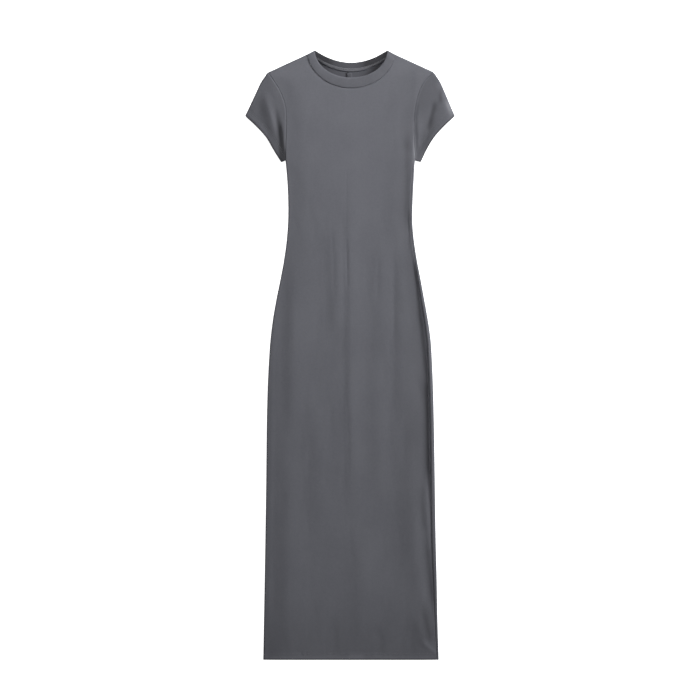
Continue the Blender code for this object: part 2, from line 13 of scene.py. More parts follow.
import bmesh
import bpy
import numpy as np
from mathutils import Euler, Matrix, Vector


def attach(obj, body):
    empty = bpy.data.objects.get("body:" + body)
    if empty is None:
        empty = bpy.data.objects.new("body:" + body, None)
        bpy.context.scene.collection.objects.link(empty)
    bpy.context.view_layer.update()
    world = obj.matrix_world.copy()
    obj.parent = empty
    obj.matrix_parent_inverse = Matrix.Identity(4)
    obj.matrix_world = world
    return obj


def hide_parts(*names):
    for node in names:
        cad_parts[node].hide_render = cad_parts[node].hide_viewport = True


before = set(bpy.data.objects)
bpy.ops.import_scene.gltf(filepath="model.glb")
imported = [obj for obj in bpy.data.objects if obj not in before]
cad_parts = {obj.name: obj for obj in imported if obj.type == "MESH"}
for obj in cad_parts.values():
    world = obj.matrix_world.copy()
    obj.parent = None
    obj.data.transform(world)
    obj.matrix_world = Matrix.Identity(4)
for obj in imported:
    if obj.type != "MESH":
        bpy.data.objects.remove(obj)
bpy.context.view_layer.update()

MM = 0.001
BODY = "root"
LOG = logging.getLogger("dress")
# Farther away than any seam
FAR = 1e3
# How many rows of a panel the turned hem follows
HEM_ROWS = 14
# The angles round a turned hem's edge where its points lie, in degrees
HEM_TURN = (150, 115, 90, 65, 30)
# How much closer together the columns of a shoulder lie at its ends
SHOULDER_CLOSENESS = 0.11


class Side(Enum):
    """A side of the dress, seen from above with the neck at the top."""

    LEFT = -1
    RIGHT = 1


class Stitch(Enum):
    """How a row of thread lies on the cloth: its stitch length, gap and width."""

    HEM = (3.0, 0.5, 0.5)
    CUFF = (2.6, 0.45, 0.4)


def ramp(share: np.ndarray | float) -> np.ndarray:
    """A smooth step from 0 to 1, over the shares from 0 to 1."""
    clipped = np.clip(share, 0.0, 1.0)
    return clipped * clipped * (3.0 - 2.0 * clipped)


def bell(distance: np.ndarray | float, width: np.ndarray | float) -> np.ndarray:
    """A smooth bump, 1 at no distance and all but gone at twice this width."""
    return np.exp(-((distance / width) ** 2))


@dataclass(frozen=True)
class Ridge:
    """A rounded rise along a line: its height, its distance from the line and its reach."""

    rise: float
    place: float
    reach: float

    def __call__(self, distance: np.ndarray) -> np.ndarray:
        """The rise at these distances from the line."""
        return self.rise * bell(distance - self.place, self.reach)


@dataclass(frozen=True)
class Change:
    """A smooth change over a span, which runs downward where it is below zero."""

    first: float
    gain: float
    start: float
    span: float

    def __call__(self, place: np.ndarray) -> np.ndarray:
        """The value at these places."""
        return self.first + self.gain * ramp((place - self.start) / self.span)


def shares_grid(rows: int, columns: int) -> list[np.ndarray]:
    """The shares from 0 to 1 down a grid of this many steps, and those across it."""
    down, over = np.linspace(0, 1, rows + 1), np.linspace(0, 1, columns + 1)
    return np.meshgrid(down, over, indexing="ij")


class SmoothLine:
    """A smooth line of values through stations along the cloth."""

    def __init__(self, stations: Sequence[float], values: Sequence[float]) -> None:
        """Keeps the stations and their slopes.

        Args:
            stations: rising places, in millimetres or shares.
            values: the value at each place.
        """
        self.stations = np.asarray(stations, float)
        self.values = np.asarray(values, float)
        self.slopes = np.gradient(self.values, self.stations)

    def __call__(self, place: np.ndarray | float) -> np.ndarray:
        """Reads the line.

        Args:
            place: where to read it.

        Returns:
            The smooth value at each place, held at its end values beyond the ends.
        """
        place = np.clip(np.asarray(place, float), self.stations[0], self.stations[-1])
        before = np.searchsorted(self.stations, place, "right") - 1
        i = np.clip(before, 0, len(self.stations) - 2)
        span = self.stations[i + 1] - self.stations[i]
        t = (place - self.stations[i]) / span
        start = (1 + 2 * t) * (1 - t) ** 2 * self.values[i]
        start += t * (1 - t) ** 2 * span * self.slopes[i]
        end = t * t * (3 - 2 * t) * self.values[i + 1]
        end += t * t * (t - 1) * span * self.slopes[i + 1]
        return start + end


class SmoothPath:
    """A smooth plane curve, read by the share of its length."""

    def __init__(self, points: list[tuple[float, float]]) -> None:
        """Fits a smooth line to each coordinate.

        Args:
            points: the points that the curve passes, in order.
        """
        passed = np.asarray(points, float)
        steps = np.linalg.norm(np.diff(passed, axis=0), axis=1)
        shares = np.concatenate([[0.0], np.cumsum(steps)]) / steps.sum()
        self.x = SmoothLine(shares, passed[:, 0])
        self.y = SmoothLine(shares, passed[:, 1])

    def __call__(self, share: np.ndarray | float) -> np.ndarray:
        """The curve's points at these shares, with x and y on the last axis."""
        return np.stack([self.x(share), self.y(share)], axis=-1)


def square_to(start: np.ndarray, end: np.ndarray, right_hand: bool) -> np.ndarray:
    """Finds the way square to a line.

    Args:
        start: the line's first point.
        end: its last point.
        right_hand: whether the way is to the line's right hand or to its left.

    Returns:
        A unit vector in the plane.
    """
    along = (end - start) / np.linalg.norm(end - start)
    turned = np.array([along[1], -along[0]])
    return turned if right_hand else -turned


@dataclass(frozen=True)
class Unevenness:
    """The slight waviness that no ironed cloth is free of, the same at every run."""

    seed: int
    height: float
    across: float
    along: float
    waves: int = 9
    sizes: tuple[float, float] = (0.6, 1.7)
    turning: float = 0.22
    bend: float = 0.9
    bend_rate: float = 2.1
    least: float = 0.55
    swell: float = 0.45

    def __call__(self, x: np.ndarray, y: np.ndarray) -> np.ndarray:
        """Adds up long shallow waves.

        Args:
            x: the places' x.
            y: the places' y.

        Returns:
            The height that the waves add at each place.
        """
        rng = np.random.default_rng(self.seed)
        total = np.zeros(np.shape(x))
        for _ in range(self.waves):
            size = rng.uniform(*self.sizes)
            turn = rng.normal(0.0, self.turning)
            phase, drift = rng.uniform(0, 2 * math.pi, 2)
            u = x * math.cos(turn) + y * math.sin(turn)
            v = y * math.cos(turn) - x * math.sin(turn)
            bend = self.bend * np.sin(v / (self.along * size) * self.bend_rate + drift)
            wave = np.sin(u / (self.across * size) * 2 * math.pi + phase + bend)
            swell = np.sin(v / (self.along * size) * 2 * math.pi + drift)
            total += wave * (self.least + self.swell * swell)
        return total * self.height / math.sqrt(self.waves)


@dataclass(frozen=True)
class Wave:
    """An uneven wave, whose phase a slower one draws to and fro."""

    first: float
    draw: float
    slow: float

    def over(self, place: np.ndarray) -> np.ndarray:
        """The wave at these places, with first and slow as lengths in mm for a radian."""
        return np.sin(place / self.first + self.draw * np.sin(place / self.slow))

    def along(self, share: np.ndarray) -> np.ndarray:
        """The wave at these shares of a length, with first and slow as its radians."""
        return np.sin(share * self.first + self.draw * np.sin(share * self.slow))


@dataclass(frozen=True)
class Fold:
    """One soft fold from its head to its foot. A rise below zero makes it a trough."""

    head_x: float
    head_y: float
    foot_x: float
    foot_y: float
    rise: float
    left_width: float
    right_width: float
    bow: float = 0.0
    fade: float = 0.3

    def height(self, x: np.ndarray, y: np.ndarray) -> np.ndarray:
        """Works out the fold's height.

        Args:
            x: the places' x.
            y: the places' y.

        Returns:
            The height that the fold adds at each place.
        """
        along_x, along_y = self.foot_x - self.head_x, self.foot_y - self.head_y
        length = math.hypot(along_x, along_y)
        share = ((x - self.head_x) * along_x + (y - self.head_y) * along_y) / length**2
        aside = ((y - self.head_y) * along_x - (x - self.head_x) * along_y) / length
        aside = aside - self.bow * 4 * share * (1 - share)
        width = np.where(aside < 0, self.left_width, self.right_width)
        ends = ramp(share / self.fade) * ramp((1 - share) / self.fade)
        inside = (share > 0) & (share < 1)
        return np.where(inside, self.rise * ends * bell(aside, width), 0.0)


def folds_height(folds: tuple[Fold, ...], x: np.ndarray, y: np.ndarray) -> np.ndarray:
    """Adds up folds.

    Args:
        folds: the folds.
        x: the places' x.
        y: the places' y.

    Returns:
        The height that they add at each place.
    """
    total = np.zeros(np.shape(x))
    for fold in folds:
        total += fold.height(x, y)
    return total


@dataclass(frozen=True)
class SideStation:
    """Where both side folds lie at one height of the dress, and the right one's roll."""

    y: float
    left: float
    right: float
    turn: float


@dataclass(frozen=True)
class Lay:
    """The outline of the dress as it lies, and the heights that all its pieces share."""

    cloth: float = 0.95
    fold_height: float = 4.2
    front_loft: float = 1.4
    loft_span: float = 42.0
    lowest: float = 2.5
    lowest_margin: float = 0.25
    lowest_bend: float = 0.16
    relief_span: float = 6.0
    fold_depth: float = 2.1
    corner_length: float = 2.0
    # The shares of a shoulder's fold that its corner and its neck end take up
    corner_share: float = 0.1
    neck_share: float = 0.3
    turn_width: float = 4.5
    seam_height: float = 3.0
    seam_rise_span: float = 12.0
    roll_rise: float = 1.2
    hem_y: float = -671.0
    hem_depth: float = 14.0
    hem_rows: tuple[float, float] = (11.0, 14.8)
    row_depth: float = 0.3
    row_reach: float = 1.1
    seam_ditch: Ridge = Ridge(0.25, 0.0, 1.3)
    seam_lift: Ridge = Ridge(0.35, 0.0, 1.3)
    underarm_y: float = 428.0
    upright_rise: float = 0.75
    neck_x: float = 2.5
    neck_y: float = 671.2
    seam_half_width: float = 97.0
    seam_drop: float = 84.0
    seam_end_y: float = 662.0
    edge_half_width: float = 79.3
    edge_drop: float = 60.0
    back_edge_y: float = 644.5
    back_seam_y: float = 622.6
    sides: tuple[SideStation, ...] = (
        SideStation(-671, -191.0, 195.4, 5.0),
        SideStation(-584, -189.4, 192.8, 6.0),
        SideStation(-496, -187.8, 191.2, 7.5),
        SideStation(-408, -186.4, 189.0, 9.0),
        SideStation(-320, -185.0, 187.6, 9.5),
        SideStation(-232, -184.0, 186.4, 9.5),
        SideStation(-144, -183.0, 184.9, 9.5),
        SideStation(-56, -180.6, 182.5, 9.5),
        SideStation(-12, -178.3, 180.6, 9.5),
        SideStation(32, -175.2, 177.8, 9.5),
        SideStation(76, -170.0, 171.8, 9.0),
        SideStation(120, -162.5, 164.0, 8.0),
        SideStation(164, -153.6, 156.0, 6.5),
        SideStation(208, -145.4, 147.7, 5.2),
        SideStation(252, -139.4, 141.0, 4.5),
        SideStation(296, -136.2, 137.4, 4.5),
        SideStation(340, -136.0, 138.3, 4.5),
        SideStation(392, -138.6, 141.0, 4.5),
        SideStation(428, -142.0, 143.0, 4.5),
    )
    centre_back: tuple[tuple[float, float], ...] = (
        (-671, 18.0),
        (-500, 6.0),
        (-320, 0.0),
        (420, -3.0),
        (624, -6.6),
    )
    armhole_stations: tuple[tuple[float, float, float], ...] = (
        (434, -142.3, 143.1),
        (456, -141.9, 141.2),
        (488, -140.7, 139.8),
        (520, -140.2, 140.8),
        (548, -142.8, 144.2),
        (572, -150.2, 149.4),
        (590, -159.4, 156.4),
        (606, -169.8, 166.4),
    )
    shoulder_left: tuple[float, float] = (-180.6, 621.6)
    shoulder_right: tuple[float, float] = (184.4, 621.8)
    first_armhole_row: float = 5.0
    armhole_spacing: float = 1.15

    def kept_up(self, height: np.ndarray) -> np.ndarray:
        """Bends these heights softly upward, so that none comes under the lowest."""
        over = height - self.lowest + self.lowest_margin
        risen = (over + np.sqrt(over * over + self.lowest_bend)) / 2
        return self.lowest - self.lowest_margin + risen

    def hem_ditches(self, up: np.ndarray) -> np.ndarray:
        """How far the hem's rows of stitches draw the cloth in, this far above its edge."""
        return sum(self.row_depth * bell(up - row, self.row_reach) for row in self.hem_rows)

    def side_line(self, what: str) -> SmoothLine:
        """A smooth line through one column of the side stations."""
        return SmoothLine([s.y for s in self.sides], [getattr(s, what) for s in self.sides])

    def side_x(self, side: Side, y: np.ndarray | float) -> np.ndarray:
        """The x of a side fold at this y."""
        return self.side_line("left" if side is Side.LEFT else "right")(y)

    def rolled(self, y: np.ndarray) -> np.ndarray:
        """How far the right back has rolled in over its side fold at this y, as a share."""
        return ramp((self.side_line("turn")(y) - self.turn_width) / self.turn_width)

    def centre_back_x(self, y: np.ndarray | float) -> np.ndarray:
        """The x of the centre back seam at this y."""
        return SmoothLine(*zip(*self.centre_back))(y)

    def neck_front(
        self, half_width: float, drop: float, shares: np.ndarray, end_y: float
    ) -> np.ndarray:
        """Follows a front neck edge, half an ellipse.

        Args:
            half_width: the ellipse's half width.
            drop: its drop below the neck's centre.
            shares: the shares of its angle where the points lie.
            end_y: the y of both its ends.

        Returns:
            Its points from left to right.
        """
        first = math.asin((self.neck_y - end_y) / drop)
        angle = first + (math.pi - 2 * first) * shares
        x = self.neck_x - half_width * np.cos(angle)
        return np.stack([x, self.neck_y - drop * np.sin(angle)], axis=1)

    def neck_back(self, middle_y: float, x: np.ndarray) -> np.ndarray:
        """The points of a back neck edge, a parabola, at these x."""
        bend = (self.neck_y - self.back_edge_y) / self.edge_half_width**2
        return np.stack([x, middle_y + bend * (x - self.neck_x) ** 2], axis=-1)

    def neck_back_reach(self, middle_y: float, y: float) -> float:
        """How far a back neck edge reaches to either side at this y."""
        return self.edge_half_width * math.sqrt(
            (y - middle_y) / (self.neck_y - self.back_edge_y)
        )

    def back_neck_seam(self, steps: int) -> np.ndarray:
        """Follows the seam of the neckband to the backs.

        Args:
            steps: the number of steps on each side of the centre back seam.

        Returns:
            Its points from the left shoulder fold to the right one.
        """
        end = self.neck_back_reach(self.back_seam_y, self.seam_end_y - self.fold_depth)
        inner = self.neck_back_reach(self.back_seam_y, self.seam_end_y - self.turn_width)
        middle = float(self.centre_back_x(self.back_seam_y))
        left = np.linspace(self.neck_x - inner, middle, steps + 1)
        right = np.linspace(middle, self.neck_x + inner, steps + 1)[1:]
        xs = np.concatenate([[self.neck_x - end], left, right, [self.neck_x + end]])
        return self.neck_back(self.back_seam_y, xs)


LAY = Lay()


class Shoulder:
    """One shoulder's fold line, from the armhole to the neck seam."""

    def __init__(self, side: Side) -> None:
        """Works out the fold line and the ways into the cloth from it.

        Args:
            side: the side that it is on.
        """
        sign = side.value
        left = side is Side.LEFT
        last = LAY.armhole_stations[-1]
        self.outer = np.array(LAY.shoulder_left if left else LAY.shoulder_right)
        drop = (LAY.neck_y - LAY.seam_end_y) / LAY.seam_drop
        reach = LAY.seam_half_width * math.sqrt(1 - drop * drop)
        self.inner = np.array([LAY.neck_x + sign * reach, LAY.seam_end_y])
        below = np.array([last[1] if left else last[2], last[0]])
        self.outer_in = (below - self.outer) / np.linalg.norm(below - self.outer)
        self.outward = square_to(below, self.outer, right_hand=not left)
        self.corner = self.outer - self.outward * LAY.corner_length
        self.middle_in = square_to(self.corner, self.inner, right_hand=left)
        self.corner_in = (self.outer_in + self.middle_in) / 2
        self.inner_in = np.array([0.0, -1.0])

    def inward(self, share: np.ndarray) -> np.ndarray:
        """The way from the fold into the cloth at these shares of its length."""
        mix = np.repeat(self.middle_in[None], len(share), axis=0)
        mix += (self.corner_in - mix) * ramp(1 - share / LAY.corner_share)[:, None]
        mix += (self.inner_in - mix) * ramp(1 - (1 - share) / LAY.neck_share)[:, None]
        return mix / np.linalg.norm(mix, axis=1, keepdims=True)

    def inside(self, depth: float, columns: np.ndarray) -> np.ndarray:
        """Finds the points this deep inside the fold.

        Args:
            depth: how deep they lie.
            columns: the shares of the fold's length.

        Returns:
            The points from the armhole to the neck.
        """
        line = self.corner + (self.inner - self.corner) * columns[:, None]
        first = self.outer + self.outer_in * depth
        return np.vstack([first, line + self.inward(columns) * depth])

    def height_over(self, x: np.ndarray) -> np.ndarray:
        """The fold line's y above these x."""
        share = np.clip((x - self.corner[0]) / (self.inner[0] - self.corner[0]), 0, 1)
        return self.corner[1] + (self.inner[1] - self.corner[1]) * share


SHOULDERS = {side: Shoulder(side) for side in Side}


class Armhole:
    """One armhole seam, from the underarm to the shoulder fold."""

    def __init__(self, side: Side) -> None:
        """Fits a smooth line to the seam.

        Args:
            side: the side that it is on.
        """
        shoulder = SHOULDERS[side]
        column = 1 if side is Side.LEFT else 2
        end = shoulder.outer + shoulder.outer_in * LAY.fold_depth
        ys = [LAY.underarm_y] + [s[0] for s in LAY.armhole_stations] + [end[1]]
        side_x = float(LAY.side_x(side, LAY.underarm_y))
        xs = [side_x] + [s[column] for s in LAY.armhole_stations] + [end[0]]
        self.x_at = SmoothLine(ys, xs)
        self.end = end

    def points(self, count: int) -> np.ndarray:
        """The seam's points from above the underarm to the shoulder fold, closer near it."""
        rise = self.end[1] - LAY.underarm_y - LAY.first_armhole_row
        close = 1 - (1 - np.linspace(0, 1, count + 1)) ** LAY.armhole_spacing
        ys = LAY.underarm_y + LAY.first_armhole_row + rise * close
        return np.stack([self.x_at(ys), ys], axis=1)


ARMHOLES = {side: Armhole(side) for side in Side}


def turn(
    edge: np.ndarray,
    top_in: np.ndarray,
    bottom_in: np.ndarray,
    top_z: np.ndarray,
    count: int = 7,
) -> np.ndarray:
    """Rounds a fold, from the upper layer to the lower one.

    Args:
        edge: the outline's points.
        top_in: the way and distance from each to where the upper layer starts.
        bottom_in: the same for the lower layer.
        top_z: the upper layer's height at each.
        count: the number of points round the fold, with neither layer's own.

    Returns:
        The points, one row of them for each step round the fold.
    """
    rows = []
    for degrees in np.linspace(90, -90, count + 2)[1:-1]:
        angle = math.radians(degrees)
        inward = top_in if degrees > 0 else bottom_in
        plan = edge + inward * (1 - math.cos(angle))
        z = top_z / 2 * (1 + math.sin(angle))
        rows.append(np.concatenate([plan, np.reshape(z, (-1, 1))], axis=1))
    return np.array(rows)


class Graph:
    """A material's nodes, made and joined one at a time."""

    def __init__(self, name: str) -> None:
        """Starts an empty material.

        Args:
            name: the material's name.
        """
        self.material = bpy.data.materials.new(name)
        self.material.use_nodes = True
        self.nodes = self.material.node_tree.nodes
        self.links = self.material.node_tree.links
        self.shader = self.nodes["Principled BSDF"]

    def node(self, kind: str, settings: dict | None = None, **inputs: object) -> bpy.types.Node:
        """Adds a node.

        Args:
            kind: the node's type, without its first word.
            settings: its properties.
            inputs: its sockets, each a value or another socket. Their names have underscores
                for spaces, or are the letter i and the socket's number.

        Returns:
            The node.
        """
        made = self.nodes.new("ShaderNode" + kind)
        for key, value in (settings or {}).items():
            setattr(made, key, value)
        for key, value in inputs.items():
            socket = int(key[1:]) if key[1:].isdigit() else key.replace("_", " ")
            self.feed(made.inputs[socket], value)
        return made

    def work_out(self, operation: str, *values: object) -> bpy.types.NodeSocket:
        """Adds a step of arithmetic on these values and gives its result."""
        inputs = {f"i{place}": value for place, value in enumerate(values)}
        return self.node("Math", {"operation": operation}, **inputs).outputs[0]

    def mix(self, factor: object, first: object, second: object) -> bpy.types.NodeSocket:
        """Mixes two colours, each of them a socket or three numbers."""
        settings = {"data_type": "RGBA", "clamp_factor": True}
        first, second = (
            colour if isinstance(colour, bpy.types.NodeSocket) else (*colour, 1.0)
            for colour in (first, second)
        )
        return self.node("Mix", settings, Factor=factor, i6=first, i7=second).outputs[2]

    def feed(self, socket: bpy.types.NodeSocket, value: object) -> None:
        """Sets a socket, or joins another socket to it."""
        if isinstance(value, bpy.types.NodeSocket):
            self.links.new(value, socket)
        else:
            socket.default_value = value

    def dress(self, **inputs: object) -> bpy.types.Material:
        """Sets the shader's sockets and gives the finished material."""
        for key, value in inputs.items():
            self.feed(self.shader.inputs[key.replace("_", " ")], value)
        return self.material


@dataclass(frozen=True)
class Jersey:
    """Fine jersey: knitted wales and courses, a soft nap and a faint cool sheen."""

    name: str
    face: tuple[float, float, float] = (0.112, 0.114, 0.13)
    shade: tuple[float, float, float] = (0.097, 0.0985, 0.114)
    # Darker partly as the cloth's own reverse and partly as painted shade inside the neck
    reverse: tuple[float, float, float] = (0.056, 0.057, 0.067)
    grain_degrees: float = 0.0
    wale: float = 0.85
    course: float = 0.65
    wander: float = 0.5
    leg_slant: float = 1.3
    loop_relief: float = 0.3
    knit_depth: float = 0.09
    knit_tone: float = 0.25
    fuzz: float = 0.55
    slub: float = 0.45
    cloud: float = 0.55
    reverse_contrast: float = 1.12
    # The dark colour that painted shade mixes towards, and the light colour of painted
    # highlights
    painted_shading: tuple[float, float, float] = (0.02, 0.02, 0.024)
    painted_highlight: tuple[float, float, float] = (0.3, 0.305, 0.33)
    roughness: float = 0.78
    sheen: float = 0.22
    sheen_tint: tuple[float, float, float, float] = (0.82, 0.86, 1.0, 1.0)

    def knit(self, graph: Graph, grain: bpy.types.NodeSocket) -> bpy.types.NodeSocket:
        """Builds the height of the loops, whose slanted legs stand in pairs along each wale.

        Args:
            graph: the material's nodes.
            grain: the place on the cloth, turned to its grain.

        Returns:
            The height, from 0 to 1.
        """
        wander = graph.node("TexNoise", Vector=grain, Scale=160.0, Detail=1.0).outputs["Color"]
        reach = (self.wander * MM,) * 3
        uneven = graph.node(
            "VectorMath", {"operation": "MULTIPLY_ADD"}, i0=wander, i1=reach, i2=grain
        ).outputs[0]
        place = graph.node("SeparateXYZ", Vector=uneven).outputs
        half = self.wale * MM / 2
        aside = graph.work_out("PINGPONG", place["X"], half)
        slanted = graph.work_out("MULTIPLY_ADD", aside, self.leg_slant, place["Y"])
        turns = graph.work_out("MULTIPLY", slanted, 2 * math.pi / (self.course * MM))
        loops = graph.work_out("SINE", turns)
        legs = graph.work_out("MULTIPLY_ADD", loops, self.loop_relief, 1 - self.loop_relief)
        across = graph.work_out("MULTIPLY", aside, math.pi / half)
        return graph.work_out("MULTIPLY", legs, graph.work_out("SINE", across))

    def material(self, inner: bool = False) -> bpy.types.Material:
        """Builds the material.

        Args:
            inner: whether it is for the reverse of the cloth, which is duller and darker,
                partly as the cloth's own reverse and partly as painted shade.

        Returns:
            A procedural material whose knit runs along the piece's grain.
        """
        graph = Graph(f"{self.name}_reverse" if inner else self.name)
        place = graph.node("TexCoord").outputs["Object"]
        turned = Euler((0, 0, math.radians(self.grain_degrees)))
        grain = graph.node("Mapping", Vector=place, Rotation=turned).outputs[0]
        knit = self.knit(graph, grain)
        nap = graph.node("TexNoise", Vector=grain, Scale=1500.0, Detail=4.0, Roughness=0.65)
        fuzz = graph.work_out("MULTIPLY", nap.outputs["Fac"], self.fuzz)
        height = graph.work_out("ADD", knit, fuzz)
        bump = graph.node("Bump", Strength=0.55, Distance=self.knit_depth * MM, Height=height)
        cloud = graph.node("TexNoise", Vector=place, Scale=9.0, Detail=3.0, Roughness=0.55)
        slub = graph.node("TexNoise", Vector=grain, Scale=240.0, Detail=3.0, Roughness=0.7)
        clouds = graph.work_out("MULTIPLY", cloud.outputs["Fac"], self.cloud)
        blend = graph.work_out("MULTIPLY_ADD", slub.outputs["Fac"], self.slub, clouds)
        tone = graph.node("MapRange", Value=blend, From_Min=0.35, From_Max=0.65).outputs[0]
        loops = graph.work_out("MULTIPLY_ADD", knit, self.knit_tone, tone)
        low, high = self.shade, self.face
        if inner:
            low, high = self.reverse, tuple(c * self.reverse_contrast for c in self.reverse)
        colour = graph.mix(loops, low, high)
        # Painted shading: a share above zero darkens towards the painted shade colour, one
        # below zero lightens as a painted highlight
        painted_shading = graph.node("Attribute", {"attribute_name": "painted_shading"}).outputs["Fac"]
        if inner:
            inside_shading = graph.node("Attribute", {"attribute_name": "inside_shading"}).outputs["Fac"]
            painted_shading = graph.work_out("ADD", painted_shading, inside_shading)
        colour = graph.mix(painted_shading, colour, self.painted_shading)
        lighter = graph.node("MapRange", Value=painted_shading, From_Max=-1.0).outputs[0]
        colour = graph.mix(lighter, colour, self.painted_highlight)
        return graph.dress(
            Base_Color=colour,
            Roughness=self.roughness,
            Specular_IOR_Level=0.3,
            Sheen_Weight=self.sheen,
            Sheen_Roughness=0.45,
            Sheen_Tint=self.sheen_tint,
            Normal=bump.outputs[0],
        )


@dataclass(frozen=True)
class Thread:
    """Sewing thread, two plies twisted together."""

    name: str
    colour: tuple[float, float, float] = (0.088, 0.089, 0.102)
    between_plies: float = 0.78

    def material(self) -> bpy.types.Material:
        """Builds the material of the thread, with its twist as slanted bands."""
        graph = Graph(self.name)
        place = graph.node("TexCoord").outputs["Object"]
        bands = {"bands_direction": "DIAGONAL"}
        wave = graph.node("TexWave", bands, Vector=place, Scale=700.0, Distortion=1.5)
        twist = wave.outputs["Fac"]
        bump = graph.node("Bump", Strength=0.5, Distance=0.06 * MM, Height=twist)
        dark = tuple(c * self.between_plies for c in self.colour)
        colour = graph.mix(twist, dark, self.colour)
        return graph.dress(
            Base_Color=colour, Roughness=0.55, Sheen_Weight=0.2, Normal=bump.outputs[0]
        )


# Bands of painted shade or, with a rise below zero, painted highlight, where folds, grooves and
# rims fall in shade or catch the light
SHADE_PAINT_BANDS: tuple[Fold, ...] = (
    Fold(30, 640, 40, -560, -0.05, 60, 50, fade=0.2),
    Fold(114, 440, 138, -660, 0.06, 26, 60, fade=0.15),
    Fold(-44, 330, -40, 20, 0.03, 12, 10),
    Fold(140, 280, 150, -420, 0.09, 24, 20, fade=0.15),
    Fold(-152, -480, -150, -664, 0.07, 14, 16, fade=0.2),
    Fold(-33, -560, -33, -668, 0.06, 12, 14),
    Fold(66, -580, 67, -668, 0.06, 12, 12),
    Fold(136, -570, 138, -668, 0.07, 12, 12),
    # The right side's painted shade and highlight: its column, its light rim, both grooves and
    # the lower corner
    Fold(127, 505, 125, 262, 0.28, 9, 6, fade=0.2),
    Fold(141, 505, 138.5, 240, -0.26, 2.5, 3),
    Fold(142, 222, 157.5, 50, 0.36, 5, 2.2),
    Fold(153.5, 110, 170, -60, 0.5, 7, 2.2, bow=2.5),
    Fold(168.5, -10, 173.5, -310, 0.6, 8, 2.2, fade=0.25),
    Fold(168, 80, 180, -120, -0.16, 2.2, 2.5, bow=3),
    Fold(159, -270, 163, -400, 0.16, 5, 5),
    Fold(166, -390, 186, -570, 0.3, 9, 6),
    Fold(160, -530, 184, -645, 0.15, 12, 10),
    Fold(161, -555, 179, -642, 0.16, 7, 5),
    Fold(154, -626, 194, -660, -0.2, 4, 4),
    # The painted highlight of the light patch over the end of the centre back seam, and of the
    # light line of the hem
    Fold(-6, -662, 35, -662, -0.14, 6, 6, fade=0.15),
    Fold(-190, -665.5, 192, -665.5, -0.14, 1.8, 1.8, fade=0.05),
    # The painted shade in the creases of the left sleeve, and the painted highlight of its
    # light ridge
    Fold(-158, 545, -144, 390, 0.65, 8, 5, fade=0.4),
    Fold(-204, 584, -154, 424, 0.24, 9, 8, fade=0.3),
    Fold(-226, 566, -206, 492, 0.14, 14, 14),
    Fold(-153, 522, -147, 400, 0.5, 3.2, 5.6, fade=0.3),
    Fold(-146, 470, -147, 380, 0.35, 9, 4, fade=0.3),
    Fold(-130, 625, -142, 500, 0.08, 16, 12),
    # The painted shade in the creases of the right sleeve, and the painted highlight of its
    # light tip and edge
    Fold(200, 600, 199, 548, 0.3, 4, 4),
    Fold(191, 566, 171, 492, 0.34, 5, 6),
    Fold(186, 530, 158, 436, 0.22, 12, 10, fade=0.4),
    Fold(192, 606, 229, 522, -0.42, 6, 4, fade=0.2),
    Fold(210, 566, 228, 510, -0.3, 9, 7),
    Fold(148, 550, 153, 440, -0.22, 6, 9),
    Fold(143, 530, 144.5, 420, -0.24, 3, 3.5, fade=0.2),
    Fold(141, 640, 131, 440, 0.15, 28, 9, fade=0.12),
)

# The shade inside the neck, darkest in its corners and most of all in the right one
NECK_SHADE = SmoothLine(
    (-80, -66, -52, -36, -15, 12, 26, 40, 54, 80),
    (1.0, 0.85, 0.45, 0.15, 0, 0, 0.12, 0.5, 0.95, 1.1),
)
# How strongly that shade falls on the inner side of the band and on what lies on it
BAND_SHADE = 1.1


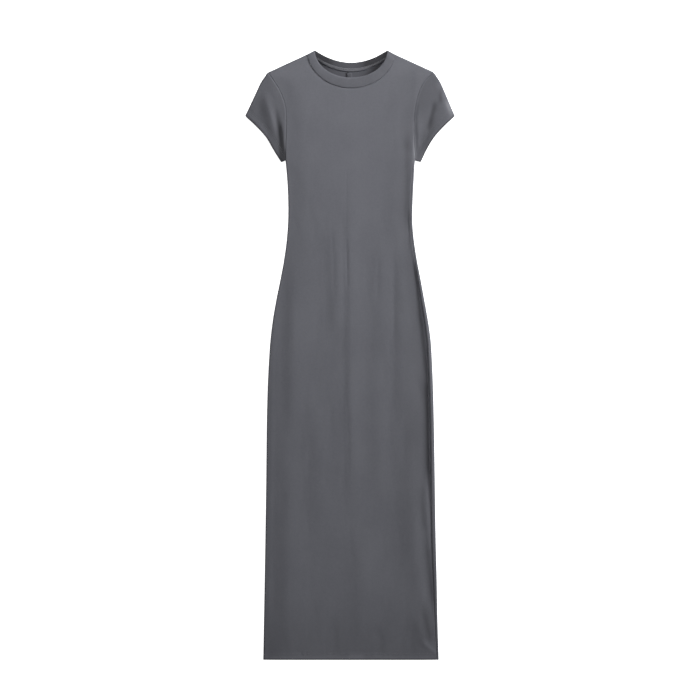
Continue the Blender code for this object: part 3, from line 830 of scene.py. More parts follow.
@dataclass(frozen=True)
class ShadePaint:
    """Painted shading over the whole dress, as a share of the shade colour that is below zero
    where a painted highlight lightens it.
    """

    bands: tuple[Fold, ...] = SHADE_PAINT_BANDS
    lightest: float = -0.5
    # Painted shade that grows downwards over the body, and more over the hem
    body: Change = Change(0.05, 0.07, 260.0, -900.0)
    hem: Change = Change(0.0, 0.17, -500.0, -150.0)
    # Painted shade towards both sides and along the folded edges, with a darker rim at the left
    flank: float = 0.08
    flank_reach: float = 80.0
    left_edge: Change = Change(0.16, 0.16, 100.0, -600.0)
    right_edge: Change = Change(0.0, 0.3, -330.0, -200.0)
    edge_reach: float = 3.0
    left_rim: Ridge = Ridge(0.45, 0.0, 1.4)
    # The sleeves darker all over, with painted shade and highlight along the armhole seams
    left_sleeve: float = 0.26
    right_sleeve: float = 0.25
    sleeve_rise: float = 6.0
    left_seam: Change = Change(0.35, -0.25, 490.0, 40.0)
    right_seam: Change = Change(-0.12, 0.4, 500.0, 20.0)
    seam_reach: float = 1.2
    below_arms: Change = Change(0.0, 1.0, LAY.underarm_y + 40.0, -60.0)
    above_arms: Change = Change(0.0, 1.0, LAY.underarm_y, 20.0)

    def __call__(self, x: np.ndarray, y: np.ndarray) -> np.ndarray:
        """Works out the painted shading, towards the sides, along the folded edges and in the
        bands.

        Args:
            x: the places' x.
            y: the places' y.

        Returns:
            The share of the painted shade colour at each place, below zero for a painted
            highlight.
        """
        left = x < 0
        below = self.below_arms(y)
        inner = np.minimum(x - LAY.side_x(Side.LEFT, y), LAY.side_x(Side.RIGHT, y) - x)
        side = self.flank * (1 - ramp(inner / self.flank_reach))
        edge = np.where(left, self.left_edge(y), self.right_edge(y))
        side += edge * bell(np.maximum(inner, 0), self.edge_reach)
        side += np.where(left, self.left_rim(inner), 0.0)
        outside = np.maximum(
            ARMHOLES[Side.LEFT].x_at(y) - x, x - ARMHOLES[Side.RIGHT].x_at(y)
        )
        sleeve_tone = np.where(left, self.left_sleeve, self.right_sleeve)
        sleeve = ramp(outside / self.sleeve_rise) * sleeve_tone * (1 - below)
        seam = np.where(left, self.left_seam(y), self.right_seam(y))
        sleeve += seam * bell(outside, self.seam_reach) * self.above_arms(y)
        base = self.body(y) + self.hem(y)
        tone = base + side * below + sleeve + folds_height(self.bands, x, y)
        return np.maximum(self.lightest, tone)


SHADE_PAINT = ShadePaint()

# The share of its depth that the front neck seam keeps along x, less to the right
NECK_SEAM_DEPTH = Change(0.75, -0.55, 12.0, 26.0)

# A tone all over a patch, or at each of its points
Tone = float | np.ndarray


def add_object(name: str, data: bpy.types.ID) -> bpy.types.Object:
    """Adds an object with this mesh, lamp or lens to the scene."""
    obj = bpy.data.objects.new(name, data)
    bpy.context.scene.collection.objects.link(obj)
    return obj


@dataclass
class Sheet:
    """A piece of cloth as one open surface, the outer face, thickened to its inner side."""

    name: str
    node: str | None
    finish: Jersey
    thickness: float = LAY.cloth
    join: float = 0.01
    patches: list[tuple[np.ndarray, bool, Tone, Tone]] = field(default_factory=list)

    # Each patch adds painted shading of its own to the face, and painted shade that only the
    # reverse shows
    def patch(
        self, rows: np.ndarray, flip: bool = False, added_shading: Tone = 0.0, inside_shading: Tone = 0.0
    ) -> None:
        """Adds a grid of points, rows by columns by 3, whose edges join the other patches."""
        self.patches.append((np.asarray(rows, float), flip, added_shading, inside_shading))

    def build(self) -> bpy.types.Object:
        """Joins the patches and thickens them.

        Returns:
            The piece, riding on the dress's body.
        """
        points, faces, start = [], [], 0
        # Painted shading for the face and painted shade for the reverse, kept on the points for
        # the materials to read
        tones: dict[str, list[np.ndarray]] = {"painted_shading": [], "inside_shading": []}
        for rows, flip, added_shading, inside_shading in self.patches:
            high, wide = rows.shape[:2]
            index = start + np.arange(high * wide).reshape(high, wide)
            tones["painted_shading"].append((SHADE_PAINT(rows[..., 0], rows[..., 1]) + added_shading).reshape(-1))
            tones["inside_shading"].append((np.zeros((high, wide)) + inside_shading).reshape(-1))
            quads = np.stack(
                [index[:-1, :-1], index[:-1, 1:], index[1:, 1:], index[1:, :-1]], axis=-1
            ).reshape(-1, 4)
            faces.append(quads[:, ::-1] if flip else quads)
            points.append(rows.reshape(-1, 3))
            start += high * wide
        mesh = bpy.data.meshes.new(self.name)
        mesh.from_pydata(np.vstack(points) * MM, [], np.vstack(faces))
        for tone, values in tones.items():
            made = mesh.attributes.new(tone, "FLOAT", "POINT")
            made.data.foreach_set("value", np.concatenate(values).astype(np.float32))
        bm = bmesh.new()
        bm.from_mesh(mesh)
        bmesh.ops.remove_doubles(bm, verts=bm.verts, dist=self.join * MM)
        bm.to_mesh(mesh)
        bm.free()
        mesh.shade_smooth()
        mesh.materials.append(self.finish.material())
        mesh.materials.append(self.finish.material(inner=True))
        obj = add_object(self.name, mesh)
        shell = obj.modifiers.new("cloth", "SOLIDIFY")
        shell.thickness = self.thickness * MM
        shell.offset = -1
        shell.material_offset = 1
        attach(obj, BODY)
        if self.node:
            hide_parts(self.node)
        return obj


def row_normals(rows: np.ndarray) -> np.ndarray:
    """Finds the way out of a grid's outer face at each point of it.

    Args:
        rows: the points, rows by columns by 3.

    Returns:
        Unit vectors, one for each point.
    """
    along = np.gradient(rows, axis=1)
    if np.allclose(rows[:, 0], rows[:, -1]):
        along[:, 0] = along[:, -1] = (rows[:, 1] - rows[:, -2]) / 2
    up = np.gradient(rows, axis=0)
    normal = np.cross(along, up)
    size = np.linalg.norm(normal, axis=-1, keepdims=True)
    return normal / np.where(size < 1e-9, 1.0, size)


def turned_hem(rows: np.ndarray, depth: float, radius: float, sign: float = 1.0) -> np.ndarray:
    """Turns a hem to the inside of a grid, over its first row.

    Args:
        rows: the outer face, its first row at the hem.
        depth: how deep the hem is.
        radius: the radius of its folded edge.
        sign: 1 where the grid's normals point out of its outer face, and -1 otherwise.

    Returns:
        The hem's rows, from its inner edge round to the outer face's first row.
    """
    normals = row_normals(rows) * sign
    outward = rows[0] - rows[1]
    outward /= np.linalg.norm(outward, axis=-1, keepdims=True)
    run = np.linalg.norm(rows - rows[0], axis=-1).mean(axis=1)
    last = int(np.searchsorted(run, depth))
    inner = [rows[i] - normals[i] * 2 * radius for i in range(last, -1, -2)]
    around = []
    for degrees in HEM_TURN:
        angle = math.radians(degrees)
        out = rows[0] + outward * radius * math.sin(angle)
        around.append(out - normals[0] * radius * (1 - math.cos(angle)))
    return np.array([*inner, *around, rows[0]])


class BodyPlan:
    """The plan of a body panel, row by row from the hem to the shoulder."""

    CLOSE_ROWS = (1.7, 2.6, 3.8, 5.2, 6.8, 8.4, 10.0, 11.5, 13.0)
    LAST_CLOSE_STEP = 1.5

    def __init__(self, step: float, hem_radius: float) -> None:
        """Spaces the rows.

        Args:
            step: the usual distance between the rows.
            hem_radius: how far the first row lies inside the hem's folded edge.
        """
        close = LAY.hem_y + np.array([hem_radius, *self.CLOSE_ROWS])
        start = close[-1] + self.LAST_CLOSE_STEP
        count = round((LAY.underarm_y - start) / step)
        self.ys = np.concatenate([close, np.linspace(start, LAY.underarm_y, count + 1)])

    @property
    def body_count(self) -> int:
        """The number of rows up to the underarm."""
        return len(self.ys)

    def body(self, first_x: np.ndarray, last_x: np.ndarray, tops: np.ndarray) -> np.ndarray:
        """Spreads the columns over the rows below the underarm.

        Args:
            first_x: the x of the first column in each row.
            last_x: the x of the last one.
            tops: the points at the top of the columns.

        Returns:
            The plan, rows by columns by 2.
        """
        shares = (tops[:, 0] - tops[0, 0]) / (tops[-1, 0] - tops[0, 0])
        x = first_x[:, None] + (last_x - first_x)[:, None] * shares
        return np.stack([x, np.repeat(self.ys[:, None], len(tops), axis=1)], axis=-1)

    def upper(
        self,
        tops: np.ndarray,
        firsts: np.ndarray,
        last_x: Callable[[np.ndarray], np.ndarray],
        held: tuple[int, int],
    ) -> np.ndarray:
        """Leads the columns from the underarm to their tops.

        Args:
            tops: the points at the top of the columns.
            firsts: the first column's points.
            last_x: the x of the last column at each y.
            held: the columns that turn upright, so that they pass beside the neck.

        Returns:
            The plan, rows by columns by 2.
        """
        xs = tops[:, 0]
        shares = (xs - xs[0]) / (xs[-1] - xs[0])
        starts = np.maximum(0.0, (xs[held[0]] - xs) / (xs[held[0]] - xs[0]))
        ends = np.maximum(0.0, (xs - xs[held[1]]) / (xs[-1] - xs[held[1]]))
        rise = (firsts[:-1, 1] - LAY.underarm_y) / (tops[0, 1] - LAY.underarm_y)
        ys = LAY.underarm_y + (tops[:, 1] - LAY.underarm_y) * rise[:, None]
        first, last = firsts[:-1, 0], last_x(ys[:, -1])
        even = first[:, None] + (last - first)[:, None] * shares
        upright = xs + (first - xs[0])[:, None] * starts + (last - xs[-1])[:, None] * ends
        x = even + (upright - even) * ramp(rise / LAY.upright_rise)[:, None]
        return np.concatenate([np.stack([x, ys], axis=-1), tops[None]])


def closer_at_ends(count: int, much: float) -> np.ndarray:
    """Shares from 0 to 1 in this many steps, which are shorter at both ends."""
    even = np.linspace(0, 1, count + 1)
    return even - much * np.sin(2 * math.pi * even)


def shoulder_shares(count: int) -> np.ndarray:
    """Column shares along a shoulder, closer together at the armhole and the neck."""
    return closer_at_ends(count, SHOULDER_CLOSENESS)[:-1]


@dataclass
class FrontPanel:
    """The front, with its folds, its neck seam, both shoulders and the turned hem."""

    left_columns: int = 26
    neck_columns: int = 62
    crease_closeness: Ridge = Ridge(0.62, 0.47, 0.055)
    right_columns: int = 36
    row_step: float = 4.3
    upper_rows: int = 52
    hem_radius: float = 1.02
    neck_ditch: Ridge = Ridge(0.4, 0.0, 1.4)
    neck_sag: Ridge = Ridge(0.2, 0.0, 5.0)
    hem_roll: Ridge = Ridge(0.3, 5.0, 2.6)
    hem_dip: Ridge = Ridge(0.25, 0.0, 1.6)
    row_pull: float = 1.3
    usual_pull: float = 0.25
    uneven_pull: float = 0.1
    pull_wave: Wave = Wave(11.0, 1.3, 31.0)
    pucker: float = 0.2
    pucker_wave: Wave = Wave(1.9, 1.7, 13.0)
    puckers_at: Ridge = Ridge(1.0, 13.5, 4.0)
    # Painted shade along the hem's folded edge and over the left shoulder's fold
    hem_tone: Ridge = Ridge(0.7, 0.0, 0.9)
    left_strap_tone: float = 0.4
    finish: Jersey = Jersey("front_jersey")
    main_folds: tuple[Fold, ...] = (
        Fold(-2, 420, 2, -420, 1.3, 9, 24),
        Fold(-34, 300, -30, 20, 1.2, 13, 16),
        Fold(70, 290, 66, -60, 1.1, 20, 18),
        Fold(112, 260, 116, -170, 1.3, 18, 22),
        Fold(-118, 230, -130, -220, 1.3, 14, 40),
        Fold(58, 20, 66, -320, 1.1, 22, 20),
        Fold(-78, -60, -60, -420, 0.9, 24, 24),
        Fold(122, -160, 140, -520, 1.2, 24, 18),
        Fold(-128, -180, -140, -620, 1.1, 14, 30),
        Fold(22, -380, 30, -670, 1.1, 20, 26),
        Fold(138, -560, 182, -668, 0.6, 10, 12),
        Fold(131, 330, 124, 210, -1.2, 18, 8),
        Fold(136, 250, 170, -130, -2.1, 34, 6, fade=0.2),
        Fold(168, 0, 174, -360, -1.8, 34, 6),
        Fold(158, -300, 181, -600, -1.4, 12, 6),
    )
    fine_folds: tuple[Fold, ...] = (
        # The crease down the middle, where the seam of the backs presses through
        Fold(-8, 440, -8, 240, -0.12, 2.4, 3.2),
        Fold(-8, 270, -5, 130, -0.55, 2.2, 3),
        Fold(-6, 180, -4, -60, -0.16, 2.2, 3),
        Fold(-6, -80, -2, -290, -0.34, 2.4, 3.4),
        Fold(-2, -250, 3, -500, -0.14, 2.6, 3.4),
        # Short uneven streaks over the waist and hips
        Fold(-41, 286, -35, 96, -0.58, 3.4, 4.4, bow=2),
        Fold(-22, 292, -20, 110, 0.25, 5, 6),
        Fold(-43, -110, -44, -170, -0.3, 3, 4),
        Fold(62, 222, 60, 110, -0.3, 4, 5),
        Fold(98, 236, 99, -4, -0.36, 5, 6, bow=-2),
        Fold(82, 250, 84, -150, 0.22, 9, 9),
        Fold(116, -130, 122, -270, -0.35, 8, 9),
        Fold(-96, 340, -60, 190, -0.22, 7, 9),
        Fold(-120, 330, -96, 230, 0.2, 6, 8),
        # The dark fall and the light rim of the left side
        Fold(-149, 232, -150, -210, -0.4, 10, 12, bow=3),
        Fold(-168, 130, -180, -640, 0.3, 5, 6, fade=0.1),
        # The column and the rim beside the right armhole and torso
        Fold(128, 490, 126, 246, -0.35, 8, 7),
        Fold(137, 486, 136, 270, 0.35, 3, 3, fade=0.15),
        # The rim beside the second groove, and the ridge on its other hand
        Fold(160, -300, 170, -520, 0.4, 7, 6),
        Fold(186, -210, 190, -560, 0.25, 3, 3),
        # Short falls over the hem
        Fold(-152, -540, -150, -662, -0.3, 9, 10),
        Fold(-132, -600, -130, -671, 0.25, 8, 8, fade=0.2),
        Fold(-33, -590, -33, -668, -0.3, 7, 7),
        Fold(66, -600, 67, -668, -0.3, 8, 8),
        Fold(136, -590, 138, -668, -0.3, 8, 7),
        Fold(172, -640, 196, -668, -0.35, 5, 5),
        Fold(150, -622, 196, -662, 0.8, 5, 5),
        # The slight pull across the chest and under the arms
        Fold(-136, 440, -70, 330, 0.25, 9, 12),
        Fold(138, 448, 84, 350, 0.2, 9, 12),
        Fold(-118, 470, -78, 590, 0.3, 14, 18),
        Fold(-60, 560, -10, 480, 0.2, 20, 24),
        Fold(112, 600, 84, 470, 0.25, 14, 18),
        Fold(92, 586, 70, 520, -0.15, 8, 10),
    )
    tight_stitches: tuple[tuple[float, float], ...] = ((-108, 14), (-35, 18), (53, 26))
    waviness: Unevenness = Unevenness(seed=7, height=0.12, across=64.0, along=240.0)
    ripple: Unevenness = Unevenness(seed=19, height=0.045, across=19.0, along=90.0, waves=12)

    def height(self, x: np.ndarray, y: np.ndarray) -> np.ndarray:
        """Works out the height of the outer face.

        Args:
            x: the places' x.
            y: the places' y.

        Returns:
            The height above the floor at each place.
        """
        low = y <= LAY.underarm_y
        fold_x = LAY.side_x(Side.LEFT, y) + LAY.fold_depth
        seam_x = LAY.side_x(Side.RIGHT, y) - LAY.side_line("turn")(y)
        left = np.where(low, fold_x, ARMHOLES[Side.LEFT].x_at(y))
        right = np.where(low, seam_x, ARMHOLES[Side.RIGHT].x_at(y))
        sink = (LAY.fold_height - LAY.seam_height) * LAY.rolled(y)
        tops = {side: SHOULDERS[side].height_over(x) for side in Side}
        top = np.where(x < LAY.neck_x, tops[Side.LEFT], tops[Side.RIGHT])
        inside = np.minimum(np.minimum(x - left, right - x), top - LAY.fold_depth - y)
        inside = np.maximum(inside, 0.0)
        lift = LAY.front_loft * ramp(inside / LAY.loft_span)
        lift -= np.where(low, sink, 0.0) * ramp(1 - (right - x) / LAY.seam_rise_span)
        relief = folds_height(self.main_folds, x, y) + folds_height(self.fine_folds, x, y)
        relief += self.waviness(x, y) + self.ripple(x, y)
        lift += relief * ramp(inside / LAY.relief_span)
        body = LAY.kept_up(LAY.fold_height + lift)
        from_arm = np.minimum(np.where(low, FAR, x - left), right - x)
        ditches = self.neck_ditches(x, y) + LAY.seam_ditch(from_arm)
        return body + self.hem_relief(x, y) - ditches

    def neck_ditches(self, x: np.ndarray, y: np.ndarray) -> np.ndarray:
        """How far the neck seam draws the cloth down, close to it and more widely.

        Args:
            x: the places' x.
            y: the places' y.

        Returns:
            The depth at each place.
        """
        u = (x - LAY.neck_x) / LAY.seam_half_width
        v = (y - LAY.neck_y) / LAY.seam_drop
        from_neck = (np.hypot(u, v) - 1) * (LAY.seam_half_width + LAY.seam_drop) / 2
        return self.neck_ditch(from_neck) * NECK_SEAM_DEPTH(x) + self.neck_sag(from_neck)

    def hem_relief(self, x: np.ndarray, y: np.ndarray) -> np.ndarray:
        """The roll of the hem's edge, its rows of stitches and the puckers between them."""
        up = y - LAY.hem_y
        roll = self.hem_roll(up) - self.hem_dip(up)
        pull = self.usual_pull + self.uneven_pull * self.pull_wave.over(x)
        for middle, reach in self.tight_stitches:
            pull = pull + bell(x - middle, reach)
        rows = LAY.hem_ditches(up) * pull * self.row_pull
        pucker = self.pucker * self.pucker_wave.over(x) * pull
        return roll - rows + pucker * self.puckers_at(up)

    def neck_line(self) -> np.ndarray:
        """The neck seam's points, closer together over the middle crease."""
        place = np.linspace(0, 1, self.neck_columns)
        weight = 1 - self.crease_closeness(place)
        shares = np.concatenate([[0.0], np.cumsum(weight)]) / weight.sum()
        end_y = LAY.seam_end_y - LAY.fold_depth
        return LAY.neck_front(LAY.seam_half_width, LAY.seam_drop, shares, end_y)

    def strap(self, side: Side, tops: np.ndarray, shares: np.ndarray) -> np.ndarray:
        """Turns the front over one shoulder.

        Args:
            side: the shoulder's side.
            tops: the plan of the panel's last row over this shoulder, from the armhole.
            shares: the shares of the shoulder where the columns are.

        Returns:
            The points from the outer face to the seam below, rows by columns by 3.
        """
        shoulder = SHOULDERS[side]
        neck = LAY.back_neck_seam(1)
        ends = neck[:2] if side is Side.LEFT else neck[:-3:-1]
        low = np.vstack([shoulder.inside(LAY.fold_depth, shares), ends[:1]])
        seam = np.vstack([shoulder.inside(LAY.turn_width, shares), ends[1:]])
        edge_in = seam - low
        edge_in *= LAY.fold_depth / np.linalg.norm(edge_in, axis=1, keepdims=True)
        fold = low - edge_in
        fold[-1] = (tops[-1, 0], LAY.seam_end_y)
        edge_in[-1] = low[-1] - fold[-1]
        z = self.height(tops[:, 0], tops[:, 1])
        rows = [np.column_stack([tops, z]), *turn(fold, tops - fold, edge_in, z)]
        rows.append(np.column_stack([low, np.zeros(len(low))]))
        rows.append(np.column_stack([seam, np.zeros(len(seam))]))
        return np.array(rows)

    def build(self) -> bpy.types.Object:
        """Builds the panel.

        Returns:
            The front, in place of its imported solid.
        """
        sheet = Sheet("front_cloth", "front", self.finish)
        plan = BodyPlan(self.row_step, self.hem_radius)
        left_shares = shoulder_shares(self.left_columns)
        right_shares = shoulder_shares(self.right_columns)
        left_strap = SHOULDERS[Side.LEFT].inside(LAY.fold_depth, left_shares)
        right_strap = SHOULDERS[Side.RIGHT].inside(LAY.fold_depth, right_shares)
        neck = self.neck_line()
        tops = np.vstack([left_strap, neck, right_strap[::-1]])
        ys = plan.ys
        first_x = LAY.side_x(Side.LEFT, ys) + LAY.fold_depth
        last_x = LAY.side_x(Side.RIGHT, ys) - LAY.side_line("turn")(ys)
        firsts = ARMHOLES[Side.LEFT].points(self.upper_rows)
        held = (len(left_strap), len(left_strap) + len(neck) - 1)
        upper = plan.upper(tops, firsts, ARMHOLES[Side.RIGHT].x_at, held)
        flat = np.concatenate([plan.body(first_x, last_x, tops), upper])
        face = np.dstack([flat, self.height(flat[..., 0], flat[..., 1])])
        sheet.patch(face, added_shading=self.hem_tone(flat[..., 1] - ys[0]))

        count = plan.body_count
        start = face[:count, 0]
        edge = np.stack([LAY.side_x(Side.LEFT, ys), ys], axis=1)
        inward = np.array([[LAY.fold_depth, 0.0]])
        around = turn(edge, inward, inward, start[:, 2])[::-1]
        zero = np.zeros(count)
        seam = np.column_stack([edge[:, 0] + LAY.turn_width, ys, zero])
        low = np.column_stack([edge[:, 0] + LAY.fold_depth, ys, zero])
        under = np.concatenate([[seam], [(seam + low) / 2], [low], around, [start]])
        under = under.transpose(1, 0, 2)
        closing = under[-1:].copy()
        closing[..., :2] = face[count, 0, :2]
        closing[..., 2] *= face[count, 0, 2] / start[-1, 2]
        sheet.patch(np.concatenate([under, closing]))
        hem_rows = np.concatenate([under[:HEM_ROWS, :-1], face[:HEM_ROWS]], axis=1)
        hem = turned_hem(hem_rows, LAY.hem_depth, self.hem_radius)
        sheet.patch(hem, added_shading=self.hem_tone.rise)

        left_tops = flat[-1][: len(left_strap) + 1]
        right_tops = flat[-1][: -len(right_strap) - 2 : -1]
        sheet.patch(self.strap(Side.LEFT, left_tops, left_shares), added_shading=self.left_strap_tone)
        sheet.patch(self.strap(Side.RIGHT, right_tops, right_shares)[:, ::-1])
        return sheet.build()


@dataclass
class BackPanel:
    """One back, which lies on the floor. The right one turns up over the side to its seam."""

    side: Side
    shoulder_columns: int = 16
    neck_columns: int = 20
    row_step: float = 6.5
    upper_rows: int = 34
    hem_radius: float = 1.02
    # A painted shadow line along the centre back seam, faint on the face and strong on the
    # reverse
    seam_line: float = 2.1
    seam_tone: float = 0.25
    seam_shadow: float = 1.6
    shade_drop: float = 50.0
    shade_span: float = 20.0
    roundness: Change = Change(0.3, 0.7, -360.0, 140.0)
    rolled_gap: float = 8.0
    # The places over the part that is rolled up, as shares, and how deep each is tucked in
    turned_steps: tuple[tuple[float, float], ...] = (
        (0.0, 0.75), (0.12, 0.2), (0.28, 0.0), (0.5, 0.0), (0.75, 0.0),
    )
    folds: tuple[Fold, ...] = (
        Fold(-96, 330, -110, 40, 0.8, 12, 16),
        Fold(-60, 120, -52, -260, 0.6, 16, 14),
        Fold(-132, -60, -150, -480, 0.8, 12, 18),
        Fold(-86, -300, -92, -640, 0.6, 16, 14),
        Fold(78, 310, 84, 20, 0.7, 14, 12),
        Fold(50, 60, 62, -300, 0.6, 14, 16),
        Fold(136, -40, 150, -430, 0.8, 14, 12),
        Fold(104, -320, 98, -650, 0.6, 14, 16),
        Fold(-58, 590, -96, 470, 0.5, 14, 18),
        Fold(64, 590, 98, 470, 0.5, 18, 14),
    )

    def height(self, x: np.ndarray, y: np.ndarray, inside: np.ndarray) -> np.ndarray:
        """How far the back lifts off the floor in its soft troughs and beside its seams."""
        folds = folds_height(self.folds, x, y) * ramp(inside / LAY.relief_span / 2)
        return folds + LAY.hem_ditches(y - LAY.hem_y) + LAY.seam_lift(inside)

    def build(self) -> bpy.types.Object:
        """Builds the panel.

        Returns:
            The back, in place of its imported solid.
        """
        sign = self.side.value
        name = "back_left" if self.side is Side.LEFT else "back_right"
        sheet = Sheet(f"{name}_cloth", name, Jersey(f"{name}_jersey"))
        plan = BodyPlan(self.row_step, self.hem_radius)
        shares = shoulder_shares(self.shoulder_columns)
        strap = SHOULDERS[self.side].inside(LAY.turn_width, shares)
        neck = LAY.back_neck_seam(self.neck_columns)[1:-1]
        neck = neck[:: -sign][: self.neck_columns + 1]
        tops = np.vstack([strap, neck])
        ys = plan.ys
        inset = LAY.turn_width if self.side is Side.LEFT else LAY.fold_depth
        outer_x = LAY.side_x(self.side, ys) - sign * inset
        firsts = ARMHOLES[self.side].points(self.upper_rows)
        upper = plan.upper(tops, firsts, LAY.centre_back_x, (len(strap), len(strap)))
        flat = np.concatenate([plan.body(outer_x, LAY.centre_back_x(ys), tops), upper])
        outer_gap = np.abs(flat[..., 0] - flat[:, :1, 0])
        if self.side is Side.RIGHT:
            outer_gap[: plan.body_count] += self.rolled_gap
        inside = np.minimum(outer_gap, np.abs(flat[..., 0] - flat[:, -1:, 0]))
        face = np.dstack([flat, self.height(flat[..., 0], flat[..., 1], inside)])
        rise = flat[..., 1] - LAY.back_seam_y + self.shade_drop
        shade = NECK_SHADE(flat[..., 0]) * ramp(rise / self.shade_span)
        from_seam = np.abs(flat[..., 0] - LAY.centre_back_x(flat[..., 1]))
        line = bell(from_seam, self.seam_line)
        inside_shading = shade + self.seam_shadow * line
        sheet.patch(face, flip=sign < 0, added_shading=self.seam_tone * line, inside_shading=inside_shading)
        hem_rows = face[:HEM_ROWS]
        if self.side is Side.RIGHT:
            turned = self.turned_up(face[: plan.body_count, 0])
            closing = turned[-1:].copy()
            closing[..., :2] = face[plan.body_count, 0, :2]
            sheet.patch(np.concatenate([turned, closing]))
            hem_rows = np.concatenate([turned[:HEM_ROWS, :-1], face[:HEM_ROWS]], axis=1)
        hem = turned_hem(hem_rows, LAY.hem_depth, self.hem_radius, sign)
        sheet.patch(hem, flip=sign < 0)
        return sheet.build()

    def turned_up(self, start: np.ndarray) -> np.ndarray:
        """Turns the back up over the right side fold.

        Args:
            start: the first column of its flat part.

        Returns:
            The points from the seam on the front to the flat part, rows by columns by 3.
        """
        ys = start[:, 1]
        wide = LAY.rolled(ys) * self.roundness(ys)
        edge = np.stack([LAY.side_x(Side.RIGHT, ys), ys], axis=1)
        inward = np.array([[-LAY.fold_depth, 0.0]])
        seam_x = edge[:, 0] - LAY.side_line("turn")(ys)
        seam_z = LAY.fold_height + (LAY.seam_height - LAY.fold_height) * wide
        top_x = edge[:, 0] - LAY.fold_depth
        full = np.full(len(ys), LAY.fold_height)
        columns = []
        for share, tucked in self.turned_steps:
            x = seam_x + (top_x - seam_x) * share
            crest = LAY.fold_height + LAY.roll_rise * wide
            swell = seam_z + (crest - seam_z) * math.sin(min(1.0, share * 2) * math.pi / 2)
            swell += (full - crest) * max(0.0, share * 2 - 1)
            columns.append(np.column_stack([x, ys, swell - tucked]))
        columns.append(np.column_stack([top_x, ys, full]))
        columns.extend(turn(edge, inward, inward, full))
        columns.append(start)
        return np.array(columns).transpose(1, 0, 2)


